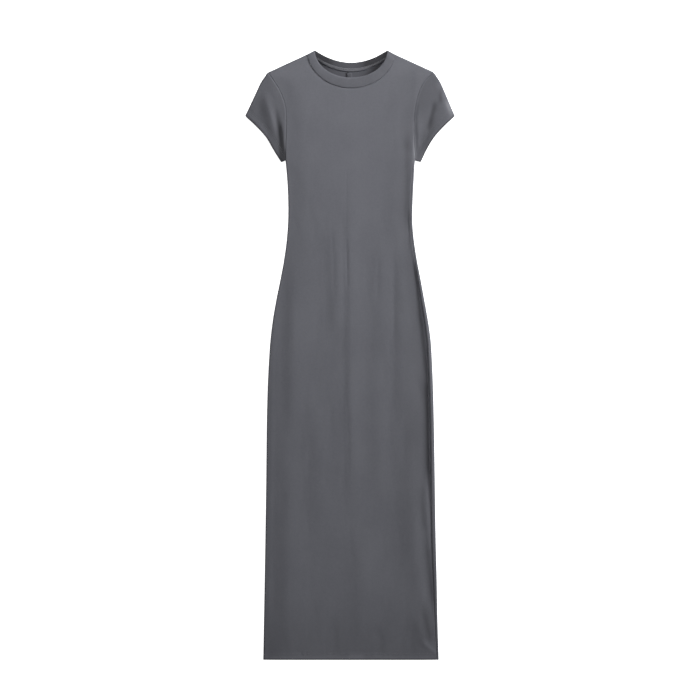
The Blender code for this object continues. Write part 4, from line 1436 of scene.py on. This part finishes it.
@dataclass
class Sleeve:
    """One sleeve, a flattened tube from the armhole seam to its turned cuff."""

    side: Side
    fold_line: tuple[tuple[float, float], ...]
    cuff_line: tuple[tuple[float, float], ...]
    folds: tuple[Fold, ...]
    fine_folds: tuple[Fold, ...]
    grain_degrees: float
    around_columns: int = 46
    along_columns: int = 40
    closeness: float = 0.1
    loft: float = 1.3
    # The shares of its width and length over which its loft and its folds rise
    loft_across: float = 0.35
    loft_along: float = 0.4
    relief_along: float = 0.15
    # The share over which its lower edge turns square to itself
    turn_along: float = 0.15
    hem_radius: float = 1.0
    hem_depth: float = 16.0
    hem_roll: Ridge = Ridge(0.3, 4.5, 2.6)
    hem_columns: float = 0.55
    # Painted shade along the turned cuff, its folded edge and the left sleeve's outline
    edge_tone: float = 0.5
    cuff_tone: Ridge = Ridge(0.5, 0.0, 1.6)
    outline_tone: Ridge = Ridge(0.5, 0.0, 2.0)
    stitch_depths: tuple[float, float] = (12.0, 15.5)
    stitch_ditch: float = 0.28
    stitch_reach: float = 1.2

    def plan(self) -> tuple[np.ndarray, np.ndarray, np.ndarray, list[np.ndarray]]:
        """Lays out the sleeve.

        Returns:
            The plan of the upper layer, rings by columns by 2, the shares along and across,
            and for each ring its two edges and the ways in from them.
        """
        left = self.side is Side.LEFT
        shoulder = SHOULDERS[self.side]
        underarm = np.array([float(LAY.side_x(self.side, LAY.underarm_y)), LAY.underarm_y])
        armhole = ARMHOLES[self.side].points(self.around_columns)[:-1]
        seam = np.vstack([[underarm], armhole, [shoulder.outer]])
        steps = np.linalg.norm(np.diff(seam, axis=0), axis=1)
        run = np.concatenate([[0.0], np.cumsum(steps)])
        across = run / run[-1]
        corner = shoulder.outer + shoulder.outward * LAY.corner_length
        fold = SmoothPath([tuple(shoulder.outer), tuple(corner), *self.fold_line])
        cuff = SmoothPath(list(self.cuff_line))
        tip = np.array(self.cuff_line[0])
        along = closer_at_ends(self.along_columns, self.closeness)
        square = square_to(underarm, tip, right_hand=left)
        seam_way = (seam[1] - underarm) / np.linalg.norm(seam[1] - underarm)
        plans, edges = [], []
        for a in along:
            way = seam_way + (square - seam_way) * ramp(a / self.turn_along)
            under_in = way / np.linalg.norm(way) * LAY.fold_depth
            lower, upper = underarm + (tip - underarm) * a, fold(a)
            over_in = shoulder.outer_in * LAY.fold_depth
            if a > 0:
                near, far = fold(max(0.0, a - 0.01)), fold(min(1.0, a + 0.01))
                over_in = square_to(near, far, right_hand=not left) * LAY.fold_depth
            span = seam + (cuff(across) - seam) * a
            between = lower + (upper - lower) * across[:, None]
            corners = underarm + (seam[-1] - underarm) * across[:, None]
            ends = tip + (cuff(1.0) - tip) * across[:, None]
            points = span + between - (corners + (ends - corners) * a)
            points[0] = lower + under_in
            points[-1] = upper + over_in
            plans.append(points)
            edges.append((lower, upper, under_in, over_in))
        return np.array(plans), along, across, edges

    def height(self, plan: np.ndarray, along: np.ndarray, across: np.ndarray) -> np.ndarray:
        """Works out the height of the upper layer.

        Args:
            plan: its points, rings by columns by 2.
            along: the rings' shares of the sleeve's length.
            across: the columns' shares of its width.

        Returns:
            The height above the floor at each point.
        """
        x, y = plan[..., 0], plan[..., 1]
        spread = (np.minimum(across, 1 - across) / self.loft_across)[None]
        lift = self.loft * ramp(spread) * ramp(along / self.loft_along)[:, None]
        relief = folds_height(self.folds, x, y) + folds_height(self.fine_folds, x, y)
        relief = relief * ramp(spread * 2) * ramp(along / self.relief_along)[:, None]
        body = LAY.kept_up(LAY.fold_height + lift + relief)
        from_cuff = np.linalg.norm(plan - plan[-1:], axis=-1)
        body -= LAY.seam_ditch(np.linalg.norm(plan - plan[:1], axis=-1))
        body += self.hem_roll(from_cuff)
        for depth in self.stitch_depths:
            body -= self.stitch_ditch * bell(from_cuff - depth, self.stitch_reach)
        return body

    def build(self) -> bpy.types.Object:
        """Builds the sleeve.

        Returns:
            The sleeve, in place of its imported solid.
        """
        left = self.side is Side.LEFT
        name = "sleeve_left" if left else "sleeve_right"
        finish = Jersey(f"{name}_jersey", grain_degrees=self.grain_degrees)
        sheet = Sheet(f"{name}_cloth", name, finish)
        plan, along, across, edges = self.plan()
        z = self.height(plan, along, across)
        rings = []
        for i, (lower, upper, under_in, over_in) in enumerate(edges):
            top = np.column_stack([plan[i], z[i]])
            over = turn(upper[None], over_in[None], over_in[None], z[i, -1:])[:, 0]
            under = turn(lower[None], under_in[None], under_in[None], z[i, :1])[:, 0]
            rest = LAY.seam_lift(np.linalg.norm(plan[i] - plan[0], axis=-1))
            bottom = np.column_stack([plan[i], rest])[::-1]
            rings.append(np.vstack([top, over, bottom, under[::-1]]))
        rows = np.array(rings)
        count = int(self.hem_columns * self.along_columns)
        closed = np.concatenate([rows, rows[:, :1]], axis=1)
        from_cuff = np.linalg.norm(closed - closed[-1:], axis=-1)
        added_shading = self.cuff_tone(from_cuff)
        if left:
            outline = closed[:, len(across) + 2 : len(across) + 3]
            from_outline = np.linalg.norm((closed - outline)[..., :2], axis=-1)
            added_shading += self.outline_tone(from_outline)
        sheet.patch(closed, flip=not left, added_shading=added_shading)
        cuff = closed[::-1][:count]
        turned = turned_hem(cuff, self.hem_depth, self.hem_radius, self.side.value)
        sheet.patch(turned, flip=left, added_shading=self.edge_tone)
        return sheet.build()

    def cuff_stitches(self) -> bpy.types.Object:
        """Sews the cuff's two rows of stitches over its upper layer.

        Returns:
            The thread of the cuff.
        """
        name = "left" if self.side is Side.LEFT else "right"
        work = ThreadWork(f"cuff_stitches_{name}", f"sleeve_{name}")
        plan, along, across, _ = self.plan()
        rows = np.dstack([plan, self.height(plan, along, across)])[::-1]
        run = np.linalg.norm((rows - rows[:1])[..., :2], axis=-1)
        for i, depth in enumerate(self.stitch_depths):
            line = np.array([
                [np.interp(depth, run[:, j], rows[:, j, k]) for k in range(3)]
                for j in range(1, rows.shape[1] - 1)
                if run[-1, j] > depth + 1.0
            ])
            work.row(line, Stitch.CUFF, seed=31 + i)
        return work.build()


@dataclass
class Neckband:
    """The neckband, a doubled strip of jersey that is folded at the neck's edge."""

    front_steps: int = 110
    back_steps: int = 44
    across_steps: int = 12
    fold_height: float = 5.0
    loft: float = 1.3
    loft_span: float = 14.0
    fold_depth: float = 2.5
    edge_radius: float = 0.98
    width: float = 21.0
    swell: float = 0.35
    edge_dip: Ridge = Ridge(0.4, 0.0, 2.0)
    wave_height: float = 0.16
    wave: Wave = Wave(47, 1.1, 13)
    wave_span: float = 20.0
    crown_span: float = 6.0
    # The steps over its width are this much closer at the seam, and grow towards the edge
    first_step: float = 0.55
    step_gain: float = 0.45
    lift_ends: float = 0.06
    ditch: Ridge = Ridge(0.5, 0.0, 1.4)
    # The band a little darker all over, a painted highlight along its neck edge near the middle
    # of the front, and painted shade on its inner layer
    outer_tone: float = 0.15
    lit_along: Ridge = Ridge(0.12, -6.0, 14.0)
    lit_across: Ridge = Ridge(1.0, 1.2, 1.3)
    inner_tone: float = 0.58
    hem_gap: float = 2.4
    finish: Jersey = Jersey("neckband_jersey", grain_degrees=90.0)

    def crown(self, across: np.ndarray) -> np.ndarray:
        """The band's own roundness over its width, from its neck edge to its seam."""
        from_seam = across * self.width
        swell = self.swell * np.sin(np.clip(across, 0, 1) * math.pi)
        return swell - self.edge_dip(self.width - from_seam)

    def grid(self) -> np.ndarray:
        """Lays out the band's outer face.

        Returns:
            The points, from the neck edge to the seam by all round, with the first column
            again as the last.
        """
        across = np.linspace(1 - self.edge_radius / self.width, 0, self.across_steps + 1)
        across = across * (self.first_step + self.step_gain * across)
        end_y = LAY.seam_end_y - LAY.fold_depth
        edge_end_y = LAY.neck_y - self.fold_depth
        share = np.linspace(0, 1, self.front_steps + 1)
        outer = LAY.neck_front(LAY.seam_half_width, LAY.seam_drop, share, end_y)
        inner = LAY.neck_front(LAY.edge_half_width, LAY.edge_drop, share, edge_end_y)
        from_fold = np.minimum(share, 1 - share) * math.pi * LAY.edge_drop
        height = self.fold_height + self.loft * ramp(from_fold / self.loft_span)
        wave = self.wave_height * self.wave.along(share)
        wave = wave * ramp(from_fold / self.wave_span)
        front = outer + (inner - outer) * across[:, None, None]
        from_seam = across * self.width
        ditch = self.ditch(from_seam)[:, None] * NECK_SEAM_DEPTH(outer[:, 0])
        top = height + (self.crown(across)[:, None] + wave - ditch) * ramp(
            from_fold / self.crown_span
        )
        top = np.dstack([front, top])

        seam_reach = LAY.neck_back_reach(LAY.back_seam_y, end_y)
        edge_reach = LAY.neck_back_reach(LAY.back_edge_y, edge_end_y)
        far = LAY.back_neck_seam(self.back_steps)[::-1]
        place = (far[:, 0] - LAY.neck_x) / seam_reach
        near = LAY.neck_back(LAY.back_edge_y, LAY.neck_x + edge_reach * place)
        back = far + (near - far) * across[:, None, None]
        rest = np.repeat(LAY.seam_lift(from_seam)[:, None], back.shape[1], axis=1)
        rest = rest * ramp((1 - abs(place)) / self.lift_ends)
        back = np.dstack([back, rest])

        right = self.side_turn(Side.RIGHT, across, top[:, -1], back[:, 0])
        left = self.side_turn(Side.LEFT, across, top[:, 0], back[:, -1])[:, ::-1]
        return np.concatenate([top, right, back, left, top[:, :1]], axis=1)

    def side_turn(
        self, side: Side, across: np.ndarray, upper: np.ndarray, lower: np.ndarray
    ) -> np.ndarray:
        """Rounds the band's fold at one shoulder.

        Args:
            side: the shoulder's side.
            across: the shares of the band's width.
            upper: the upper layer's last points, one for each share.
            lower: the lower layer's first points.

        Returns:
            The points, across by round by 3.
        """
        end = np.array([upper[-1, 0], LAY.seam_end_y])
        tip = np.array([LAY.neck_x + side.value * LAY.edge_half_width, LAY.neck_y])
        edge = end + (tip - end) * across[:, None]
        rows = turn(edge, upper[:, :2] - edge, lower[:, :2] - edge, upper[:, 2])
        return rows.transpose(1, 0, 2)

    def build(self) -> bpy.types.Object:
        """Builds the band.

        Returns:
            The neckband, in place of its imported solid.
        """
        sheet = Sheet("neckband_cloth", "neckband", self.finish)
        rows = self.grid()
        from_edge = np.linalg.norm(rows - rows[:1], axis=-1)
        lit = self.lit_along(rows[..., 0])
        lit[:, self.front_steps + 1 :] = 0.0
        sheet.patch(rows, flip=True, added_shading=self.outer_tone - lit * self.lit_across(from_edge))
        turned = turned_hem(rows, self.width - self.hem_gap, self.edge_radius, -1.0)
        fade = np.minimum(1.0, np.arange(len(turned))[::-1] / 3.0)[:, None]
        # Painted shade on the band's inner layer, darkest in the neck's corners
        tone = self.inner_tone + BAND_SHADE * NECK_SHADE(turned[..., 0])
        sheet.patch(turned, flip=True, added_shading=tone * fade)
        return sheet.build()


@dataclass
class NeckAllowance:
    """The overlocked seam allowance of the back neck, turned up on the inside of the band."""

    width: float = 7.4
    thickness: float = 0.7
    height: float = 2.85
    end_inset: float = 13.0
    seam_inset: float = 0.8
    seam_tuck: float = 1.1
    tuck_share: float = 0.22
    curl: float = 0.25
    curl_lift: float = 0.8
    wave: Wave = Wave(61, 2, 17)
    steps: int = 90
    across_steps: int = 6
    overlock_ends: tuple[float, float] = (0.01, 0.99)
    overlock_turns: int = 62
    turn_points: int = 8
    overlock_radius: float = 0.2
    overlock_middle: float = 0.76
    overlock_swing: float = 0.3
    overlock_lift: float = 0.12
    finish: Jersey = Jersey(
        "allowance_jersey", face=(0.128, 0.13, 0.146), shade=(0.112, 0.1135, 0.129)
    )

    def place(self, share: np.ndarray, across: np.ndarray | float) -> np.ndarray:
        """Finds places on the strip's upper face.

        Args:
            share: how far along the back neck seam each place lies, from 0 to 1.
            across: how far over the strip's width, from 0 at the seam to 1.

        Returns:
            The points.
        """
        reach = LAY.neck_back_reach(LAY.back_seam_y, LAY.seam_end_y - LAY.turn_width)
        reach -= self.end_inset
        x = LAY.neck_x - reach + 2 * reach * share
        rise = LAY.back_seam_y + self.seam_inset + self.width * across
        point = LAY.neck_back(rise, x)
        curl = self.curl * self.wave.along(share) * across
        tuck = self.seam_tuck * ramp(1 - across / self.tuck_share)
        z = self.height - tuck + curl * self.curl_lift
        z = z + self.curl * np.sin(np.clip(across, 0, 1) * math.pi)
        return np.dstack([point[..., 0], point[..., 1], z + np.zeros(np.shape(x))])

    def build(self) -> bpy.types.Object:
        """Builds the strip.

        Returns:
            The strip of cloth.
        """
        across, share = shares_grid(self.across_steps, self.steps)
        sheet = Sheet("back_neck_allowance", None, self.finish, thickness=self.thickness)
        rows = self.place(share, across)
        sheet.patch(rows, added_shading=BAND_SHADE * NECK_SHADE(rows[..., 0]))
        strip = sheet.build()
        return strip

    def overlock(self) -> bpy.types.Object:
        """Runs the overlock thread to and fro over the strip's free edge.

        Returns:
            The thread.
        """
        share = np.linspace(*self.overlock_ends, self.overlock_turns * self.turn_points + 1)
        turned = np.arange(len(share)) * 2 * math.pi / self.turn_points
        swing = self.overlock_swing * np.sin(turned)
        line = self.place(share[None], self.overlock_middle + swing[None])[0]
        line[:, 2] += self.overlock_lift
        work = ThreadWork("neck_overlock", "neckband")
        work.strand(line, self.overlock_radius, sides=4)
        return work.build()


@dataclass
class CentreAllowance:
    """The overlocked seam allowance of the centre back, ironed to the right on the inside."""

    width: float = 10.5
    thickness: float = 0.7
    first_y: float = -656.0
    last_y: float = 621.0
    steps: int = 320
    across_steps: int = 5
    seam_inset: float = 0.4
    above: float = 0.1
    curl: float = 0.12
    wave: Wave = Wave(7.0, 2, 43.0)
    seam_rise: Ridge = Ridge(0.2, 0.0, 0.15)
    # Dark partly as the reverse of the cloth and partly as painted shade inside the neck
    finish: Jersey = Jersey(
        "centre_allowance_jersey", face=(0.06, 0.061, 0.071), shade=(0.052, 0.053, 0.062)
    )

    def place(self, share: np.ndarray, across: np.ndarray, back: BackPanel) -> np.ndarray:
        """Finds places on the strip's upper face.

        Args:
            share: how far up the centre back seam each place lies, from 0 to 1.
            across: how far over the strip's width, from 0 at the seam to 1.
            back: the back that it is ironed to.

        Returns:
            The points.
        """
        y = self.first_y + (self.last_y - self.first_y) * share
        x = LAY.centre_back_x(y) + self.seam_inset + self.width * across
        lying = back.height(x, y, x - LAY.centre_back_x(y)) + LAY.cloth + self.thickness
        curl = self.curl * self.wave.over(y) * across
        z = lying + self.above + curl + self.seam_rise(across)
        return np.dstack([x, y, z])

    def build(self, back: BackPanel) -> bpy.types.Object:
        """Builds the strip on its back panel.

        Args:
            back: the back that it is ironed to.

        Returns:
            The strip of cloth.
        """
        share, across = shares_grid(self.steps, self.across_steps)
        sheet = Sheet("centre_back_allowance", None, self.finish, thickness=self.thickness)
        sheet.patch(self.place(share, across, back))
        strip = sheet.build()
        return strip


class ThreadWork:
    """Many short stitches, joined in one mesh."""

    END_TAPER = 0.45
    # The least and greatest share of its usual length and width that a stitch has
    LENGTHS = (0.94, 1.04)
    WIDTHS = (0.9, 1.08)
    # How deep a stitch sinks into the cloth along its length
    SINK = (-0.35, -0.08, -0.02, -0.08, -0.35)

    def __init__(self, name: str, slot: str) -> None:
        """Starts with no stitches.

        Args:
            name: the piece's name.
            slot: not used.
        """
        self.name = name
        self.slot = slot
        self.points: list[np.ndarray] = []
        self.faces: list[list[int]] = []
        self.count = 0

    def strand(self, line: np.ndarray, radius: float, sides: int = 5) -> None:
        """Adds one length of thread with closed ends.

        Args:
            line: the points that it follows.
            radius: its radius.
            sides: the number of its sides.
        """
        along = np.gradient(line, axis=0)
        along /= np.linalg.norm(along, axis=1, keepdims=True)
        aside = np.cross(along, np.array([0.0, 0.0, 1.0]))
        aside /= np.maximum(1e-6, np.linalg.norm(aside, axis=1, keepdims=True))
        over = np.cross(aside, along)
        angle = np.linspace(0, 2 * math.pi, sides, endpoint=False)
        taper = np.ones(len(line))
        taper[[0, -1]] = self.END_TAPER
        reach = radius * taper[:, None, None]
        ring = aside[:, None] * np.cos(angle)[:, None] + over[:, None] * np.sin(angle)[:, None]
        points = line[:, None] + ring * reach
        index = np.arange(len(line) * sides).reshape(len(line), sides) + self.count
        after = np.roll(index, -1, axis=1)
        quads = np.stack([index[:-1], after[:-1], after[1:], index[1:]], axis=-1)
        self.points.append(points.reshape(-1, 3))
        self.faces.extend(quads.reshape(-1, 4).tolist())
        self.faces.append(index[0][::-1].tolist())
        self.faces.append(index[-1].tolist())
        self.count += len(line) * sides

    def row(self, line: np.ndarray, stitch: Stitch, seed: int, out: float = 1.0) -> None:
        """Sews a row of straight stitches.

        Args:
            line: closely spaced points on the cloth's face.
            stitch: the kind of stitch.
            seed: what makes its slight unevenness its own.
            out: 1 where the face looks up, and -1 where it looks down.
        """
        length, gap, width = stitch.value
        rng = np.random.default_rng(seed)
        steps = np.linalg.norm(np.diff(line, axis=0), axis=1)
        run = np.concatenate([[0.0], np.cumsum(steps)])
        at = 1.0
        while at + length < run[-1]:
            long = length * rng.uniform(*self.LENGTHS)
            places = np.linspace(at, at + long, len(self.SINK))
            path = np.stack([np.interp(places, run, line[:, k]) for k in range(3)], axis=1)
            path[:, 2] += out * np.array(self.SINK)
            self.strand(path, width / 2 * rng.uniform(*self.WIDTHS))
            at += long + gap

    def build(self) -> bpy.types.Object:
        """Joins the stitches.

        Returns:
            The piece of thread.
        """
        mesh = bpy.data.meshes.new(self.name)
        mesh.from_pydata(np.vstack(self.points) * MM, [], self.faces)
        mesh.shade_smooth()
        mesh.materials.append(Thread(f"{self.name}_thread").material())
        obj = add_object(self.name, mesh)
        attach(obj, BODY)
        return obj


@dataclass(frozen=True)
class SoftLight:
    """A round soft light, with its place and width in metres and its power in watts."""

    name: str
    place: tuple[float, float, float]
    width: float
    power: float


@dataclass
class Stage:
    """The pale floor, the soft light and the camera straight above, in metres."""

    frame_width: float = 1.54
    distance: float = 4.0
    centre_y: float = 0.011
    sensor: float = 36.0
    cloth_height: float = 0.005
    floor_reach: float = 300.0
    floor_z: float = -0.0003
    floor_glow: float = 0.9
    soft_lights: tuple[SoftLight, ...] = (
        SoftLight("top_light", (0.4, 1.6, 1.25), 0.9, 25.0),
        SoftLight("fill_light", (-0.6, 0.9, 3.2), 2.4, 12.0),
    )
    lit_place: tuple[float, float, float] = (0.0, 0.1, 0.0)
    side_strength: float = 4.0
    side_elevation: float = 17.0
    side_azimuth: float = 14.0
    side_softness: float = 14.0
    room_strength: float = 0.2

    def floor(self) -> bpy.types.Object:
        """Builds the floor, a plain pale sheet that lies under the dress.

        Returns:
            The floor.
        """
        mesh = bpy.data.meshes.new("floor")
        corners = [
            (x * self.floor_reach, y * self.floor_reach, self.floor_z)
            for x, y in ((-1, -1), (1, -1), (1, 1), (-1, 1))
        ]
        mesh.from_pydata(corners, [], [(0, 1, 2, 3)])
        graph = Graph("pale_floor")
        grain = graph.node("TexNoise", Scale=30.0, Detail=2.0).outputs["Fac"]
        finish = graph.dress(
            Base_Color=graph.mix(grain, (0.92,) * 3, (0.94,) * 3),
            Roughness=0.9,
            Emission_Color=(1, 1, 1, 1),
            Emission_Strength=self.floor_glow,
        )
        mesh.materials.append(finish)
        floor = add_object("floor", mesh)
        return floor

    def soft_light(self, light: SoftLight) -> bpy.types.Object:
        """Hangs a soft light that faces the dress.

        Args:
            light: what it is like.

        Returns:
            The light.
        """
        lamp = bpy.data.lights.new(light.name, "AREA")
        lamp.shape = "DISK"
        lamp.size = light.width
        lamp.energy = light.power
        obj = add_object(light.name, lamp)
        obj.location = light.place
        aim = Vector(self.lit_place) - obj.location
        obj.rotation_euler = aim.to_track_quat("-Z", "Y").to_euler()
        return obj

    def side_light(self) -> bpy.types.Object:
        """Sets the low soft light from the right that shows the folds.

        Returns:
            The light.
        """
        lamp = bpy.data.lights.new("side_light", "SUN")
        lamp.energy = self.side_strength
        lamp.angle = math.radians(self.side_softness)
        obj = add_object("side_light", lamp)
        tilt = math.radians(90.0 - self.side_elevation)
        obj.rotation_euler = Euler((0.0, tilt, math.radians(self.side_azimuth)))
        return obj

    def camera(self) -> bpy.types.Object:
        """Hangs the camera.

        Returns:
            The camera, straight above the dress with the neck at the top of its picture.
        """
        lens = bpy.data.cameras.new("camera")
        lens.sensor_width = self.sensor
        lens.lens = self.sensor * (self.distance - self.cloth_height) / self.frame_width
        obj = add_object("camera", lens)
        obj.location = (0.0, self.centre_y, self.distance)
        bpy.context.scene.camera = obj
        return obj

    def build(self) -> None:
        """Sets up the floor, the lights and the camera."""
        self.floor()
        for light in self.soft_lights:
            self.soft_light(light)
        self.side_light()
        world = bpy.data.worlds.new("room")
        world.use_nodes = True
        air = world.node_tree.nodes["Background"].inputs
        air["Color"].default_value = (1.0, 1.0, 1.0, 1.0)
        air["Strength"].default_value = self.room_strength
        bpy.context.scene.world = world
        bpy.context.scene.view_settings.view_transform = "Standard"
        self.camera()


@dataclass
class Dress:
    """The whole dress: its panels, sleeves, band and sewing."""

    front: FrontPanel = field(default_factory=FrontPanel)
    backs: tuple[BackPanel, ...] = (BackPanel(Side.LEFT), BackPanel(Side.RIGHT))
    sleeves: tuple[Sleeve, ...] = (
        Sleeve(
            Side.LEFT,
            (
                (-187.6, 612.6), (-194.4, 603.2), (-206.8, 577.5), (-219.0, 551.5),
                (-230.6, 527.0),
            ),
            (
                (-150.5, 424.5), (-168.4, 453.0), (-184.8, 480.7), (-206.3, 504.4),
                (-230.6, 527.0),
            ),
            (
                Fold(-188, 590, -164, 470, 1.2, 12, 8),
                Fold(-168, 560, -150, 440, -1, 8, 6),
                Fold(-212, 560, -196, 510, -0.7, 10, 12),
            ),
            (
                Fold(-192, 584, -160, 480, 0.5, 4, 4),
                Fold(-166, 552, -148, 430, -0.5, 4, 3.5),
                Fold(-178, 600, -158, 560, 0.3, 6, 6),
            ),
            grain_degrees=-38.0,
        ),
        Sleeve(
            Side.RIGHT,
            (
                (191.2, 612.6), (197.2, 603.2), (209.2, 577.5), (220.2, 551.5),
                (230.6, 527.0),
            ),
            (
                (154.8, 424.8), (168.2, 453.0), (185.2, 480.7), (206.5, 504.4),
                (230.6, 527.0),
            ),
            (
                Fold(150, 560, 152, 470, 1, 8, 12),
                Fold(190, 560, 167, 480, -1, 12, 12),
                Fold(206, 590, 214, 545, -0.7, 6, 8),
            ),
            (
                Fold(185, 556, 171, 500, -0.6, 5, 4),
                Fold(174, 510, 168, 468, -0.4, 4, 4),
                Fold(148, 530, 150, 450, 0.3, 3.5, 5),
                Fold(200, 596, 198, 560, -0.3, 3.5, 3.5),
            ),
            grain_degrees=38.0,
        ),
    )
    neckband: Neckband = field(default_factory=Neckband)
    allowance: NeckAllowance = field(default_factory=NeckAllowance)
    centre_allowance: CentreAllowance = field(default_factory=CentreAllowance)
    # The hem's stitches: the heights and insets of their rows, and the points on each
    stitch_z: float = 0.24
    left_inset: float = 3.0
    seam_inset: float = 1.5
    back_inset: float = 2.0
    front_points: int = 500
    back_points: int = 300

    def hem_stitches(self) -> bpy.types.Object:
        """Sews the hem's two rows of stitches, on the front and under the backs.

        Returns:
            The thread of the hem.
        """
        work = ThreadWork("hem_stitches", "front")
        for i, up in enumerate(LAY.hem_rows):
            y = LAY.hem_y + up
            left = float(LAY.side_x(Side.LEFT, y)) + self.left_inset
            seam = float(LAY.side_x(Side.RIGHT, y)) - float(LAY.side_line("turn")(y))
            x = np.linspace(left, seam - self.seam_inset, self.front_points)
            ys = np.full(len(x), y)
            line = np.column_stack([x, ys, self.front.height(x, ys)])
            work.row(line, Stitch.HEM, seed=11 + i)
            for j, side in enumerate(Side):
                middle = float(LAY.centre_back_x(y))
                end = float(LAY.side_x(side, y)) - side.value * LAY.turn_width
                first, last = sorted((middle, end))
                inset = self.back_inset
                x = np.linspace(first + inset, last - inset, self.back_points)
                line = np.column_stack([x, ys[: len(x)], np.full(len(x), self.stitch_z)])
                work.row(line, Stitch.HEM, seed=21 + 2 * i + j, out=-1.0)
        return work.build()

    @staticmethod
    def report(piece: bpy.types.Object) -> bpy.types.Object:
        """Logs a finished piece and hands it on."""
        LOG.info("%s: %d faces", piece.name, len(piece.data.polygons))
        return piece

    def build(self) -> None:
        front = self.report(self.front.build())
        stitches = self.report(self.hem_stitches())
        for panel, width, area in zip(self.backs, (0.21, 0.22), (0.22, 0.236)):
            back = self.report(panel.build())
        for part in self.sleeves:
            sleeve = self.report(part.build())
            thread = self.report(part.cuff_stitches())
        band = self.report(self.neckband.build())
        strip = self.report(self.allowance.build())
        thread = self.report(self.allowance.overlock())
        strip = self.report(self.centre_allowance.build(self.backs[1]))


def main() -> None:
    """Builds the dress and the stage in order."""
    logging.basicConfig(level=logging.INFO, format="%(message)s")
    Dress().build()
    Stage().build()
    LOG.info("stage: floor, lights and camera")


if __name__ == "__main__":
    main()
